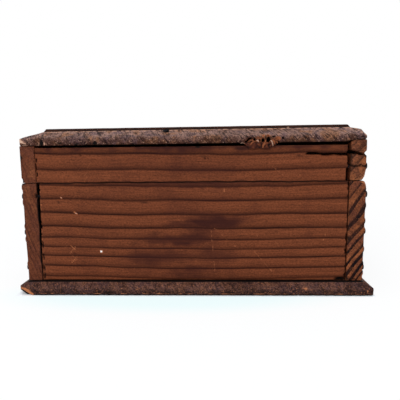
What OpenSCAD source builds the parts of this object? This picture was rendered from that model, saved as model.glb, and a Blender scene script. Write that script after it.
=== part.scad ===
// Nailed softwood box with a bevelled base board and a hinged, raised and bevelled lid.
// The carcase is made closed and then sawn through, so the lid keeps a shallow rim of four rails.
// X runs along the box, the front faces -Y and the hinges are at the back, +Y.
// The origin is under the middle of the base board.

/* [Body] */
// Length of the carcase, left to right
body_length = 230; // [160:1:320]
// Depth of the carcase, front to back
body_depth = 153; // [110:1:220]
// Height of the body boards, from the base board up to the saw cut
body_height = 45.2; // [30:0.1:80]
// Thickness of the front board and the rail sawn off it
front_thickness = 7.4; // [5:0.1:12]
// Thickness of the back board and the rail sawn off it
back_thickness = 6.7; // [5:0.1:12]
// Thickness of the end boards and the rails sawn off them
end_thickness = 11; // [9:0.1:14]
// Gap between an end board and the back board at the foot of the joint
back_joint_foot = 0.1; // [0:0.05:0.5]
// Gap between an end board and the back board at the top of the joint, opened by shrinkage
back_joint_top = 1.3; // [0:0.1:2]
// Gap between an end board and the front board
front_joint = 0.45; // [0:0.05:1]
// Radius worn on the front arrises beside the saw cut
worn_arris = 1.2; // [0.3:0.1:2]
// Radius on the other long arrises of the boards and rails
arris = 0.4; // [0.1:0.1:1]

/* [Base board] */
// Thickness of the base board
base_thickness = 5.6; // [4.5:0.1:9]
// Distance that the base board stands out at the front and back
base_side_overhang = 3.9; // [2:0.1:8]
// Distance that the base board stands out at each end
base_end_overhang = 4.4; // [2:0.1:8]
// Height of the edge below the bevel
base_edge = 3.6; // [2.6:0.1:4]
// Radius on the upper corner of the edge
base_upper_nose = 1.1; // [0.2:0.1:1.2]
// Radius on the lower corner of the edge
base_lower_nose = 0.9; // [0.2:0.1:1.2]

/* [Lid rim] */
// Width of the saw cut between body and lid
saw_cut = 0.3; // [0.2:0.05:0.6]
// Height of the back rail
rim_height = 16.4; // [12:0.1:30]
// Extra height of the front rail, which tilts the lid board
front_rail_rise = 0.5; // [0:0.1:1]
// Distance that the left end rail stops short of the lid board, at the back
left_rail_drop = 0.9; // [0:0.1:2]
// Gap between an end rail and the front rail
rail_front_joint = 1; // [0:0.1:1.5]
// Gap between an end rail and the back rail
rail_back_joint = 0.15; // [0:0.05:1]

/* [Lid board] */
// Thickness of the lid board at its field
lid_thickness = 7.8; // [7.4:0.1:12]
// Distance that the lid board stands out at the front and back
lid_side_overhang = 0; // [0:0.1:1.2]
// Distance that the lid board stands out at each end
lid_end_overhang = 0.6; // [0:0.1:5]
// Height of the edge at the back and the ends
lid_edge = 3.2; // [2:0.1:4]
// Height of the edge at the front
lid_front_edge = 5.3; // [4:0.1:5.8]
// Width of the bevel at the back
back_bevel = 8.3; // [4:0.1:15]
// Width of the bevel at each end
end_bevel = 7.9; // [4:0.1:20]
// Width of the bevel at the front
front_bevel = 5; // [2.2:0.1:15]
// Height of the step from the bevel up to the field
field_step = 1.1; // [0.4:0.1:1.6]
// Width of the slope on the step
step_slope = 0.9; // [0.1:0.1:2]
// Radius on the edge at the back and the ends
lid_nose = 0.8; // [0.2:0.1:0.9]
// Radius on the upper corner of the worn front edge
lid_front_nose = 1.7; // [0.2:0.1:2]

/* [Hinges] */
// Distance from each end of the carcase to the middle of its hinge
hinge_inset = 45; // [30:1:75]
// Length of a hinge along its pin
leaf_length = 25; // [20:0.5:38]
// Width of a leaf, from the pin to its outer edge
leaf_width = 9.5; // [8:0.1:11]
// Thickness of a leaf
leaf_thickness = 0.8; // [0.5:0.1:1.2]
// Radius on the outer corners of a leaf
leaf_corner = 1; // [0.2:0.1:2]
// Outer radius of a knuckle
knuckle_radius = 1.6; // [1.4:0.1:2.2]
// Length of the middle knuckle, which belongs to the lid leaf
middle_knuckle = 8.4; // [5:0.1:10]
// Gap between neighbouring knuckles
knuckle_gap = 0.2; // [0.1:0.05:0.4]
// Clearance between the knuckles and the wood behind them
knuckle_clearance = 0.3; // [0.3:0.05:0.6]
// Radius of a hinge pin
pin_radius = 0.8; // [0.6:0.05:0.9]
// Radial clearance of a hinge pin in its knuckles
pin_fit = 0.04; // [0.02:0.01:0.08]
// Radius of the riveted ends of a pin
pin_head_radius = 1.2; // [1:0.1:1.4]
// Thickness of the riveted ends of a pin
pin_head = 0.5; // [0.3:0.1:1]

/* [Box nails] */
// Length of a nail in the wood
nail_length = 20; // [14:0.5:26]
// Radius of a nail's shank
nail_radius = 0.8; // [0.6:0.05:1]
// Length of a nail's point
nail_point = 2; // [1:0.1:3]
// Radius of a nail's head
nail_head_radius = 1.4; // [1.2:0.1:2]
// Thickness of a nail's head
nail_head = 0.8; // [0.5:0.1:1.2]
// Distance that the head of a nail in a body corner stands out of the wood
nail_proud = 0.8; // [0:0.1:1.2]
// Distance that the head of a nail in a rim corner stands out of the wood
rim_nail_proud = 0.2; // [0:0.1:1.2]
// Distance that a lid nail's head stands out of the wood
lid_nail_proud = 0.5; // [0:0.1:0.6]
// Distance that the heads under the base board are sunk
base_nail_sunk = 0.3; // [0.1:0.1:1]
// Radial clearance of a nail in its hole
nail_fit = 0.03; // [0.01:0.01:0.1]
// Distance of the corner nails from each end of the carcase
corner_nail_inset = 2.4; // [2.2:0.1:5]
// Number of nails up each corner of the body
corner_nails = 3; // [2:1:4]
// Distance of the highest and lowest corner nail from the edge of its board
corner_nail_margin = 6; // [4:0.1:10]
// Height of the nail in a back corner of the rim, above the saw cut
back_rim_nail = 11.3; // [4:0.1:12]
// Height of the nail in a front corner of the rim, above the saw cut
front_rim_nail = 6.2; // [4:0.1:12]
// Number of nails along each long side of the lid board and of the base board
side_nails = 4; // [2:1:5]
// Distance from the ends of the carcase to the first nail along a long side
side_nail_margin = 22; // [16:1:30]
// Distance of the nail at each end of the lid and base boards from the middle, towards the back
end_nail_offset = 11.5; // [0:0.5:30]
// Distance of a lid nail's point from the lower edge of its rail
lid_nail_stop = 3; // [1:0.1:6]

/* [Hinge nails] */
// Length of a hinge nail in the wood
hinge_nail_length = 4.5; // [3:0.1:4.9]
// Radius of a hinge nail's shank
hinge_nail_radius = 0.55; // [0.4:0.05:0.8]
// Length of a hinge nail's point
hinge_nail_point = 1; // [0.5:0.1:1.5]
// Radius of a hinge nail's head
hinge_nail_head_radius = 1.1; // [0.9:0.1:1.4]
// Thickness of a hinge nail's head
hinge_nail_head = 0.5; // [0.3:0.1:0.8]
// Number of nails in each leaf
leaf_nails = 3; // [2:1:3]
// Distance between the nails of a leaf
leaf_nail_spacing = 8.5; // [6:0.5:9]
// Distance from the pin to the row of nails
leaf_nail_row = 6; // [5:0.1:7]

/* [Hidden] */
$fn = 48;
arc_steps = 6;
overcut = 1;

board_wood = [0.44, 0.24, 0.16];
edge_wood = [0.42, 0.31, 0.26];
brass = [0.62, 0.49, 0.26];
iron = [0.2, 0.19, 0.19];

half_length = body_length / 2;
half_depth = body_depth / 2;
front_inner = -half_depth + front_thickness;
back_inner = half_depth - back_thickness;

body_top = base_thickness + body_height;
rim_bottom = body_top + saw_cut;
rim_top = rim_bottom + rim_height;
lid_tilt = atan(front_rail_rise / body_depth);

axis_y = half_depth + knuckle_clearance + knuckle_radius;
axis_z = (body_top + rim_bottom) / 2;
hinge_x = half_length - hinge_inset;
leaf_relief = knuckle_radius + knuckle_clearance;

end_nail_x = half_length - end_thickness / 2;
corner_nail_x = half_length - corner_nail_inset;
front_nail_y = -half_depth + front_thickness / 2;
back_nail_y = half_depth - back_thickness / 2;

// Points of an arc that rounds the corner b between a and c
function unit(v) = v / norm(v);
function corner_arc(a, b, c, r) =
    r == 0 ? [b] :
    let (u = unit(a - b), v = unit(c - b), half = acos(u * v) / 2)
    let (centre = b + unit(u + v) * r / sin(half))
    let (from = b + u * r / tan(half) - centre, to = b + v * r / tan(half) - centre)
    let (start = atan2(from.y, from.x), turn = atan2(to.y, to.x) - start)
    let (sweep = turn > 180 ? turn - 360 : turn < -180 ? turn + 360 : turn)
    [for (i = [0:arc_steps])
        let (angle = start + sweep * i / arc_steps)
        centre + r * [cos(angle), sin(angle)]];

// An outline whose corners are [x, y, radius]
function flat(p) = [p.x, p.y];
function rounded(corners) =
    let (n = len(corners))
    [for (i = [0:n - 1]) each corner_arc(
        flat(corners[(i + n - 1) % n]), flat(corners[i]), flat(corners[(i + 1) % n]), corners[i].z)];

// Evenly spaced values from low to high
function spread(low, high, count) = [for (i = [0:count - 1]) low + (high - low) * i / (count - 1)];

// Height of the lid board's underside at a depth y
function lid_under(y) = rim_top + (half_depth - y) * tan(lid_tilt);

// Height of the wood above the lid board's underside, at a distance from its edge
function lid_surface(from_edge, edge, bevel) =
    from_edge < bevel
    ? edge + (lid_thickness - field_step - edge) * from_edge / bevel
    : lid_thickness - field_step * max(0, 1 - (from_edge - bevel) / step_slope);

corner_nail_z = spread(base_thickness + corner_nail_margin, body_top - corner_nail_margin, corner_nails);
front_rim_nail_z = [rim_bottom + front_rim_nail];
back_rim_nail_z = [rim_bottom + back_rim_nail];
side_nail_x = spread(-half_length + side_nail_margin, half_length - side_nail_margin, side_nails);
leaf_nail_reach = leaf_nail_spacing * (leaf_nails - 1) / 2;
leaf_nail_x = spread(-leaf_nail_reach, leaf_nail_reach, leaf_nails);

// Places of the nails in the lid board, as [x, y, height of the wood at the nail]
lid_nail_places = [
    for (x = side_nail_x) [x, front_nail_y, lid_under(front_nail_y)
        + lid_surface(lid_side_overhang + front_thickness / 2, lid_front_edge, front_bevel)],
    for (x = side_nail_x) [x, back_nail_y, lid_under(back_nail_y)
        + lid_surface(lid_side_overhang + back_thickness / 2, lid_edge, back_bevel)],
    for (side = [-1, 1]) [side * end_nail_x, end_nail_offset, lid_under(end_nail_offset)
        + lid_surface(lid_end_overhang + end_thickness / 2, lid_edge, end_bevel)]
];

// Places of the nails under the base board, as [x, y]
base_nail_places = [
    for (x = side_nail_x) [x, front_nail_y],
    for (x = side_nail_x) [x, back_nail_y],
    for (side = [-1, 1]) [side * end_nail_x, end_nail_offset]
];

// Stretches an outline drawn across the box, with x as depth and y as height, along the box
module along(length) {
    rotate([90, 0, 90]) linear_extrude(length, center = true) children();
}

// A board with one outline seen from the front and another seen from the end
module crossed(front_outline, end_outline, length, depth) {
    intersection() {
        rotate([90, 0, 0]) linear_extrude(depth, center = true) polygon(front_outline);
        along(length) polygon(end_outline);
    }
}

// A nail whose point is at -Z, with the surface of the wood at 0
module nail_shape(length, radius, point, head_radius, head, proud) {
    translate([0, 0, proud - head]) cylinder(h = head, r = head_radius);
    translate([0, 0, point - length]) cylinder(h = length - point + proud - head, r = radius);
    translate([0, 0, -length]) cylinder(h = point, r1 = radius / 4, r2 = radius);
}

module box_nail(length = nail_length, proud = nail_proud) {
    color(iron) nail_shape(length, nail_radius, nail_point, nail_head_radius, nail_head, proud);
}

module box_nail_hole(length = nail_length, proud = nail_proud) {
    translate([0, 0, -length - nail_fit])
        cylinder(h = length + nail_fit + overcut, r = nail_radius + nail_fit);
    translate([0, 0, proud - nail_head]) cylinder(h = nail_head + overcut, r = nail_head_radius + nail_fit);
}

module hinge_nail() {
    color(brass) nail_shape(hinge_nail_length, hinge_nail_radius, hinge_nail_point,
        hinge_nail_head_radius, hinge_nail_head, leaf_thickness + hinge_nail_head);
}

module hinge_nail_hole() {
    reach = hinge_nail_length + nail_fit;
    translate([0, 0, -reach])
        cylinder(h = reach + leaf_thickness + overcut, r = hinge_nail_radius + nail_fit);
}

// Puts its children at each nail of a front corner, a back corner, the base board or the lid board
module at_front_corners(heights) {
    for (x = [-corner_nail_x, corner_nail_x], z = heights)
        translate([x, -half_depth, z]) rotate([90, 0, 0]) children();
}

module at_back_corners(heights) {
    for (x = [-corner_nail_x, corner_nail_x], z = heights)
        translate([x, half_depth, z]) rotate([-90, 0, 0]) children();
}

module at_base_nails() {
    for (p = base_nail_places) translate([p.x, p.y, 0]) rotate([180, 0, 0]) children();
}

module lid_front_corner_nails() {
    at_front_corners(front_rim_nail_z) box_nail(nail_length, rim_nail_proud);
}

module lid_back_corner_nails() {
    at_back_corners(back_rim_nail_z) box_nail(nail_length, rim_nail_proud);
}

// The nails of the lid board reach down to the same distance from the lower edge of each rail
module lid_nails(hole) {
    for (p = lid_nail_places) {
        translate(p) {
            length = p.z - rim_bottom - lid_nail_stop;
            if (hole) box_nail_hole(length, lid_nail_proud);
            else box_nail(length, lid_nail_proud);
        }
    }
}

// side is -1 for the left hinge and 1 for the right one
// way is -1 for the body leaf and 1 for the lid leaf
module at_leaf_nails(side, way) {
    for (x = leaf_nail_x)
        translate([side * hinge_x + x, half_depth, axis_z + way * leaf_nail_row])
            rotate([-90, 0, 0]) children();
}

module at_all_leaf_nails(way) {
    for (side = [-1, 1]) at_leaf_nails(side, way) children();
}

module base_board() {
    function outline(half, overhang) = rounded([
        [-half - overhang, 0, base_lower_nose],
        [half + overhang, 0, base_lower_nose],
        [half + overhang, base_edge, base_upper_nose],
        [half, base_thickness, 0],
        [-half, base_thickness, 0],
        [-half - overhang, base_edge, base_upper_nose]
    ]);
    length_outline = outline(half_length, base_end_overhang);
    depth_outline = outline(half_depth, base_side_overhang);
    color(edge_wood) difference() {
        crossed(length_outline, depth_outline,
            body_length + 2 * base_end_overhang + overcut, body_depth + 2 * base_side_overhang + overcut);
        at_base_nails() box_nail_hole(nail_length, -base_nail_sunk);
    }
}

module front_board() {
    color(board_wood) difference() {
        along(body_length) polygon(rounded([
            [-half_depth, base_thickness, arris],
            [front_inner, base_thickness, 0],
            [front_inner, body_top, arris],
            [-half_depth, body_top, worn_arris]
        ]));
        at_front_corners(corner_nail_z) box_nail_hole();
        at_base_nails() box_nail_hole(nail_length, -base_nail_sunk);
    }
}

module back_board() {
    color(board_wood) difference() {
        along(body_length) polygon(rounded([
            [back_inner, base_thickness, 0],
            [half_depth, base_thickness, arris],
            [half_depth, body_top, arris],
            [back_inner, body_top, arris]
        ]));
        at_back_corners(corner_nail_z) box_nail_hole();
        at_base_nails() box_nail_hole(nail_length, -base_nail_sunk);
        at_all_leaf_nails(-1) hinge_nail_hole();
    }
}

// side is -1 for the left end and 1 for the right one
module end_board(side) {
    color(board_wood) difference() {
        translate([side * end_nail_x, 0, 0]) along(end_thickness) polygon([
            [front_inner + front_joint, base_thickness],
            [back_inner - back_joint_foot, base_thickness],
            [back_inner - back_joint_top, body_top],
            [front_inner + front_joint, body_top]
        ]);
        at_front_corners(corner_nail_z) box_nail_hole();
        at_back_corners(corner_nail_z) box_nail_hole();
        at_base_nails() box_nail_hole(nail_length, -base_nail_sunk);
    }
}

module lid_front_rail() {
    color(board_wood) difference() {
        along(body_length) polygon(rounded([
            [-half_depth, rim_bottom, worn_arris],
            [front_inner, rim_bottom, arris],
            [front_inner, lid_under(front_inner), 0],
            [-half_depth, lid_under(-half_depth), arris]
        ]));
        at_front_corners(front_rim_nail_z) box_nail_hole(nail_length, rim_nail_proud);
        lid_nails(true);
    }
}

module lid_back_rail() {
    color(board_wood) difference() {
        along(body_length) polygon(rounded([
            [back_inner, rim_bottom, arris],
            [half_depth, rim_bottom, arris],
            [half_depth, lid_under(half_depth), arris],
            [back_inner, lid_under(back_inner), 0]
        ]));
        at_back_corners(back_rim_nail_z) box_nail_hole(nail_length, rim_nail_proud);
        lid_nails(true);
        at_all_leaf_nails(1) hinge_nail_hole();
    }
}

// The left end rail is level and stops short of the lid board, and the right one meets it
module lid_end_rail(side) {
    front_end = front_inner + rail_front_joint;
    back_end = back_inner - rail_back_joint;
    function top(y) = side < 0 ? rim_top - left_rail_drop : lid_under(y);
    color(board_wood) difference() {
        translate([side * end_nail_x, 0, 0]) along(end_thickness) polygon([
            [front_end, rim_bottom],
            [back_end, rim_bottom],
            [back_end, top(back_end)],
            [front_end, top(front_end)]
        ]);
        at_front_corners(front_rim_nail_z) box_nail_hole(nail_length, rim_nail_proud);
        at_back_corners(back_rim_nail_z) box_nail_hole(nail_length, rim_nail_proud);
        lid_nails(true);
    }
}

// The field stands a step above the bevels, which run out to a thin edge at the back and the ends
module lid_board() {
    reach = half_length + lid_end_overhang;
    side = half_depth + lid_side_overhang;
    bevel_top = lid_thickness - field_step;
    length_outline = rounded([
        [-reach, 0, lid_nose],
        [reach, 0, lid_nose],
        [reach, lid_edge, lid_nose],
        [reach - end_bevel, bevel_top, 0],
        [reach - end_bevel - step_slope, lid_thickness, 0],
        [-reach + end_bevel + step_slope, lid_thickness, 0],
        [-reach + end_bevel, bevel_top, 0],
        [-reach, lid_edge, lid_nose]
    ]);
    depth_outline = rounded([
        [-side, 0, lid_nose],
        [side, 0, lid_nose],
        [side, lid_edge, lid_nose],
        [side - back_bevel, bevel_top, 0],
        [side - back_bevel - step_slope, lid_thickness, 0],
        [-side + front_bevel + step_slope, lid_thickness, 0],
        [-side + front_bevel, bevel_top, 0],
        [-side, lid_front_edge, lid_front_nose]
    ]);
    color(edge_wood) difference() {
        translate([0, half_depth, rim_top]) rotate([-lid_tilt, 0, 0]) translate([0, -half_depth, 0])
            crossed(length_outline, depth_outline, 2 * reach + overcut, 2 * side + overcut);
        lid_nails(true);
    }
}

// A leaf's plate, with notches for the knuckles of the other leaf, drawn with its pin along x
module leaf_plate(way) {
    own = way > 0 ? middle_knuckle : leaf_length;
    difference() {
        polygon(rounded([
            [-leaf_length / 2, 0, 0],
            [-leaf_length / 2, way * leaf_width, leaf_corner],
            [leaf_length / 2, way * leaf_width, leaf_corner],
            [leaf_length / 2, 0, 0]
        ]));
        if (way < 0) {
            translate([-middle_knuckle / 2 - knuckle_gap, -leaf_relief])
                square([middle_knuckle + 2 * knuckle_gap, leaf_relief + overcut]);
        } else {
            for (end = [0, 1]) mirror([end, 0])
                translate([own / 2, -overcut]) square([leaf_length / 2, leaf_relief + overcut]);
        }
    }
}

module knuckle(low, high) {
    translate([low, 0, 0]) rotate([0, 90, 0]) cylinder(h = high - low, r = knuckle_radius);
}

module hinge_leaf(side, way) {
    color(brass) difference() {
        translate([side * hinge_x, axis_y, axis_z]) difference() {
            union() {
                translate([0, half_depth + leaf_thickness - axis_y, 0])
                    rotate([90, 0, 0]) linear_extrude(leaf_thickness) leaf_plate(way);
                if (way < 0) {
                    knuckle(-leaf_length / 2, -middle_knuckle / 2 - knuckle_gap);
                    knuckle(middle_knuckle / 2 + knuckle_gap, leaf_length / 2);
                } else {
                    knuckle(-middle_knuckle / 2, middle_knuckle / 2);
                }
            }
            translate([-leaf_length, 0, 0]) rotate([0, 90, 0])
                cylinder(h = 2 * leaf_length, r = pin_radius + pin_fit);
        }
        at_leaf_nails(side, way) hinge_nail_hole();
    }
}

module hinge_pin(side) {
    color(brass) translate([side * hinge_x, axis_y, axis_z]) rotate([0, 90, 0]) {
        cylinder(h = leaf_length, r = pin_radius, center = true);
        for (end = [0, 1]) mirror([0, 0, end])
            translate([0, 0, leaf_length / 2]) cylinder(h = pin_head, r1 = pin_head_radius, r2 = pin_radius);
    }
}

base_board();
front_board();
back_board();
end_board(-1);  // left_end_board
end_board(1);  // right_end_board
lid_board();
lid_front_rail();
lid_back_rail();
lid_end_rail(-1);  // lid_left_end_rail
lid_end_rail(1);  // lid_right_end_rail
hinge_leaf(-1, -1);  // left_hinge_body_leaf
hinge_leaf(-1, 1);  // left_hinge_lid_leaf
hinge_pin(-1);  // left_hinge_pin
hinge_leaf(1, -1);  // right_hinge_body_leaf
hinge_leaf(1, 1);  // right_hinge_lid_leaf
hinge_pin(1);  // right_hinge_pin
at_front_corners(corner_nail_z) box_nail();  // front_corner_nails
at_back_corners(corner_nail_z) box_nail();  // back_corner_nails
lid_front_corner_nails();
lid_back_corner_nails();
lid_nails(false);  // lid_board_nails
at_base_nails() box_nail(nail_length, -base_nail_sunk);  // base_nails
at_leaf_nails(-1, -1) hinge_nail();  // left_hinge_body_nails
at_leaf_nails(-1, 1) hinge_nail();  // left_hinge_lid_nails
at_leaf_nails(1, -1) hinge_nail();  // right_hinge_body_nails
at_leaf_nails(1, 1) hinge_nail();  // right_hinge_lid_nails
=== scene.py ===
import math
import random
from functools import reduce

import bmesh
import bpy
from mathutils import Matrix, Vector, noise


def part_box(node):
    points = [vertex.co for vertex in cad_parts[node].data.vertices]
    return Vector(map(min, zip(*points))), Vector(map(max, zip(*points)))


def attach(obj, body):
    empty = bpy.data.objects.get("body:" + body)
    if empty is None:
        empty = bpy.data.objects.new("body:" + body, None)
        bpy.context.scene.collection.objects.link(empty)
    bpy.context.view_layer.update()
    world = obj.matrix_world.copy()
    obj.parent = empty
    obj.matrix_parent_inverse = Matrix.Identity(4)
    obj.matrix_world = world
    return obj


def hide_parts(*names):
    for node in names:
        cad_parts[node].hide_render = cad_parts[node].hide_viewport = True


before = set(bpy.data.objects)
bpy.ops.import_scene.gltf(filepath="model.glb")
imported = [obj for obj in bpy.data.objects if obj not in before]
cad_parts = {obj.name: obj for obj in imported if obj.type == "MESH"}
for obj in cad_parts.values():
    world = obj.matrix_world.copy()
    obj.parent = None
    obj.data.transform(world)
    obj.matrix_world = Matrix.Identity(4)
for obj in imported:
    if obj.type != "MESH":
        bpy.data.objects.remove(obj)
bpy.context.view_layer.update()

# A small nailed wooden box with a hinged lid, seen square on to its left end.
# X runs along the box, the front faces -Y, the hinges are at +Y and Z is up.
# Boards are shaped in millimetres and become metres when they are finished.

luck = random.Random(7)
endWall, sideWall = 115.0, 76.5  # from the middle of the box to the outer faces of its walls
leftEnd = -endWall
print("frame loaded")


def feed(socket, value):
    # A socket takes a plain value or the output of another node
    if isinstance(value, bpy.types.NodeSocket):
        socket.id_data.links.new(value, socket)
    else:
        socket.default_value = value


def addNode(tree, kind, inputs=None, **settings):
    node = tree.nodes.new("ShaderNode" + kind)
    for name, value in settings.items():
        setattr(node, name, value)
    for name, value in (inputs or {}).items():
        feed(node.inputs[name], value)
    return node


def treeOf(values):
    return next(value.id_data for value in values if isinstance(value, bpy.types.NodeSocket))


def maths(operation, *values, clamp=False):
    node = addNode(treeOf(values), "Math", dict(enumerate(values)), operation=operation, use_clamp=clamp)
    return node.outputs[0]


def plus(*values):
    return reduce(lambda a, b: maths("ADD", a, b), values)


def minus(a, b):
    return maths("SUBTRACT", a, b)


def times(*values):
    return reduce(lambda a, b: maths("MULTIPLY", a, b), values)


def over(a, b):
    return maths("DIVIDE", a, b)


def fade(value, low, high, start=0.0, end=1.0):
    # From start to end while the value goes from low to high
    inputs = dict(enumerate((value, low, high, start, end)))
    return addNode(treeOf(inputs.values()), "MapRange", inputs, interpolation_type="SMOOTHSTEP").outputs[0]


def blend(share, under, above):
    return addNode(share.id_data, "Mix", {0: share, 6: under, 7: above}, data_type="RGBA").outputs[2]


def coat(colour, look, *layers):
    # Lays colours of a look over a colour, each given after the share it takes
    for share, name in layers:
        colour = blend(share, colour, look[name])
    return colour


def cloud(place, scale, detail=2.0, roughness=0.5, distortion=0.0):
    node = addNode(place.id_data, "TexNoise", {
        "Vector": place, "Scale": scale, "Detail": detail, "Roughness": roughness, "Distortion": distortion})
    return node.outputs[0]


def stretch(place, amounts):
    return addNode(place.id_data, "VectorMath", {0: place, 1: amounts}, operation="MULTIPLY").outputs[0]


def scaled(place, amount):
    return addNode(place.id_data, "VectorMath", {0: place, "Scale": amount}, operation="SCALE").outputs[0]


def lengthOf(place):
    return addNode(place.id_data, "VectorMath", {0: place}, operation="LENGTH").outputs["Value"]


def turned(place, angle):
    node = addNode(place.id_data, "VectorRotate", {"Vector": place, "Angle": angle}, rotation_type="X_AXIS")
    return node.outputs[0]


def joined(x, y, z):
    return addNode(treeOf((x, y, z)), "CombineXYZ", {"X": x, "Y": y, "Z": z}).outputs[0]


def split(place):
    return addNode(place.id_data, "SeparateXYZ", {"Vector": place}).outputs


def paint(red, green, blue):
    # A colour as it looks on screen, made linear for the shader
    return tuple(((c / 255 + 0.055) / 1.055) ** 2.4 if c > 10 else c / 255 / 12.92
        for c in (red, green, blue)) + (1.0,)


def emptyTree(holder):
    # The node tree of a new material or world, with nothing in it
    holder.use_nodes = True
    holder.node_tree.nodes.clear()
    return holder.node_tree


# Camera, light and floor

view = {
    "place": (-290.85, -10.04, 68.25),  # the lens, in millimetres
    "turn": (81.805, -0.656, -87.907),  # tilt from straight down, roll and heading
    "lens": 35.966,
    "sensor": 36.0,
}


def makeCamera():
    data = bpy.data.cameras.new("viewCamera")
    data.lens = view["lens"]
    data.sensor_width = view["sensor"]
    data.clip_start = 0.01
    camera = bpy.data.objects.new("viewCamera", data)
    camera.location = Vector(view["place"]) * 0.001
    tilt, roll, heading = (math.radians(angle) for angle in view["turn"])
    turn = Matrix.Rotation(heading, 3, "Z") @ Matrix.Rotation(tilt, 3, "X") @ Matrix.Rotation(roll, 3, "Z")
    camera.rotation_euler = turn.to_euler()
    bpy.context.scene.collection.objects.link(camera)
    bpy.context.scene.camera = camera


studio = {
    "roomColour": (0.95, 0.97, 1.0, 1.0),
    "roomStrength": 0.72,
    "lamps": {
        # name: place and size in metres, watts
        "overheadSoftbox": ((-0.35, 0.1, 1.5), 1.2, 9.0),
        "frontSoftbox": ((-1.4, 0.55, 0.9), 1.0, 9.0),
    },
    "lampAim": (0, 0, 0.04),
    "floorSize": 6.0,
    "floorColour": (0.9, 0.93, 0.95, 1.0),
    "floorGlow": (0.86, 1.0),  # share of the floor that is plain background, beside the box and far off
    "floorFade": (0.13, 0.32),  # distances from the middle of the box between which it changes
    "backgroundColour": (1.0, 1.0, 1.0, 1.0),
    # Painted shadow: a pale cyan tint on the floor's glow in front of the left end, with its middle, stretch
    # and fade below
    "tint": (0.86, 0.995, 1.0, 1.0),  # of the floor in front of the left end
    "tintPlace": (0.118, -0.012, 0.0),  # how far the middle of the tint is moved back to the origin
    "tintStretch": (1.5, 0.4, 1.0),
    "tintFade": (0.016, 0.036),
    "footLine": (0.1194, 0.0804, 0.0012),  # half the base's length and depth, and the width of its shade
}


def seenDirectly(tree):
    # 1 where the background itself, or its picture in gloss or glass, is looked at
    path = addNode(tree, "LightPath").outputs
    seen = maths("ADD", path["Is Camera Ray"], path["Is Glossy Ray"], clamp=True)
    return maths("ADD", seen, path["Is Transmission Ray"], clamp=True)


def makeRoom():
    world = bpy.data.worlds.new("studioRoom")
    bpy.context.scene.world = world
    tree = emptyTree(world)
    light = addNode(tree, "Background", {"Color": studio["roomColour"], "Strength": studio["roomStrength"]})
    backdrop = addNode(tree, "Background", {"Color": studio["backgroundColour"], "Strength": 1.0})
    mix = addNode(tree, "MixShader", {0: seenDirectly(tree), 1: light.outputs[0], 2: backdrop.outputs[0]})
    addNode(tree, "OutputWorld", {0: mix.outputs[0]})
    for name, (place, size, watts) in studio["lamps"].items():
        lamp = bpy.data.lights.new(name, "AREA")
        lamp.shape = "DISK"
        lamp.size = size
        lamp.energy = watts
        holder = bpy.data.objects.new(name, lamp)
        holder.location = place
        aim = Vector(studio["lampAim"]) - Vector(place)
        holder.rotation_euler = aim.to_track_quat("-Z", "Y").to_euler()
        bpy.context.scene.collection.objects.link(holder)


def makeFloor():
    bm = bmesh.new()
    bmesh.ops.create_grid(bm, x_segments=8, y_segments=8, size=studio["floorSize"] / 2)
    mesh = bpy.data.meshes.new("studioFloor")
    bm.to_mesh(mesh)
    bm.free()
    floor = bpy.data.objects.new("studioFloor", mesh)
    bpy.context.scene.collection.objects.link(floor)
    material = bpy.data.materials.new("studioFloorPaper")
    tree = emptyTree(material)
    place = addNode(tree, "TexCoord").outputs["Object"]
    # The painted shadow tint in front of the left end
    moved = addNode(tree, "VectorMath", {0: place, 1: studio["tintPlace"]}, operation="ADD").outputs[0]
    beside = lengthOf(stretch(moved, studio["tintStretch"]))
    tint = blend(fade(beside, *studio["tintFade"]), studio["tint"], studio["backgroundColour"])
    x, y = split(place)[:2]
    footX, footY, lineWidth = studio["footLine"]
    outside = maths("MAXIMUM", minus(maths("ABSOLUTE", x), footX), minus(maths("ABSOLUTE", y), footY))
    plain = fade(lengthOf(place), *studio["floorFade"], *studio["floorGlow"])
    share = times(seenDirectly(tree), plain, fade(outside, 0.0, lineWidth))
    paper = addNode(tree, "BsdfDiffuse", {"Color": studio["floorColour"]})
    glow = addNode(tree, "Emission", {"Color": tint, "Strength": 1.0})
    mix = addNode(tree, "MixShader", {0: share, 1: paper.outputs[0], 2: glow.outputs[0]})
    addNode(tree, "OutputMaterial", {0: mix.outputs[0]})
    mesh.materials.append(material)


bpy.context.scene.view_settings.view_transform = "Standard"
makeCamera()
makeRoom()
makeFloor()
print("camera, light and floor made")


# Shader groups that several finishes share

def makeGroup(name, build, inputs):
    # Inputs are given with their usual values, and None stands for a place
    tree = bpy.data.node_groups.new(name, "ShaderNodeTree")
    for socketName, value in inputs.items():
        kind = "NodeSocketVector" if value is None else "NodeSocketFloat"
        socket = tree.interface.new_socket(socketName, in_out="INPUT", socket_type=kind)
        if value is not None:
            socket.default_value = value
    results = build(tree.nodes.new("NodeGroupInput").outputs)
    for socketName in results:
        tree.interface.new_socket(socketName, in_out="OUTPUT", socket_type="NodeSocketFloat")
    output = tree.nodes.new("NodeGroupOutput")
    for socketName, value in results.items():
        feed(output.inputs[socketName], value)
    return tree


def useGroup(group, inputs):
    return addNode(treeOf(inputs.values()), "Group", inputs, node_tree=group).outputs


def growthRings(given):
    # Each ring darkens towards its late wood, then starts pale again at once
    within = maths("FRACT", given["Ring"])
    late = maths("POWER", minus(1.0, within), given["Late Wood"])
    edge = fade(within, minus(1.0, given["Soft Edge"]), 1.0)
    whole = plus(maths("FLOOR", given["Ring"]), given["Seed"])
    chance = addNode(whole.id_data, "TexWhiteNoise", {"W": whole}, noise_dimensions="1D").outputs["Value"]
    return {"Line": times(maths("MAXIMUM", late, edge), fade(chance, 0.0, 1.0, given["Weakest"], 1.0))}


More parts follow.
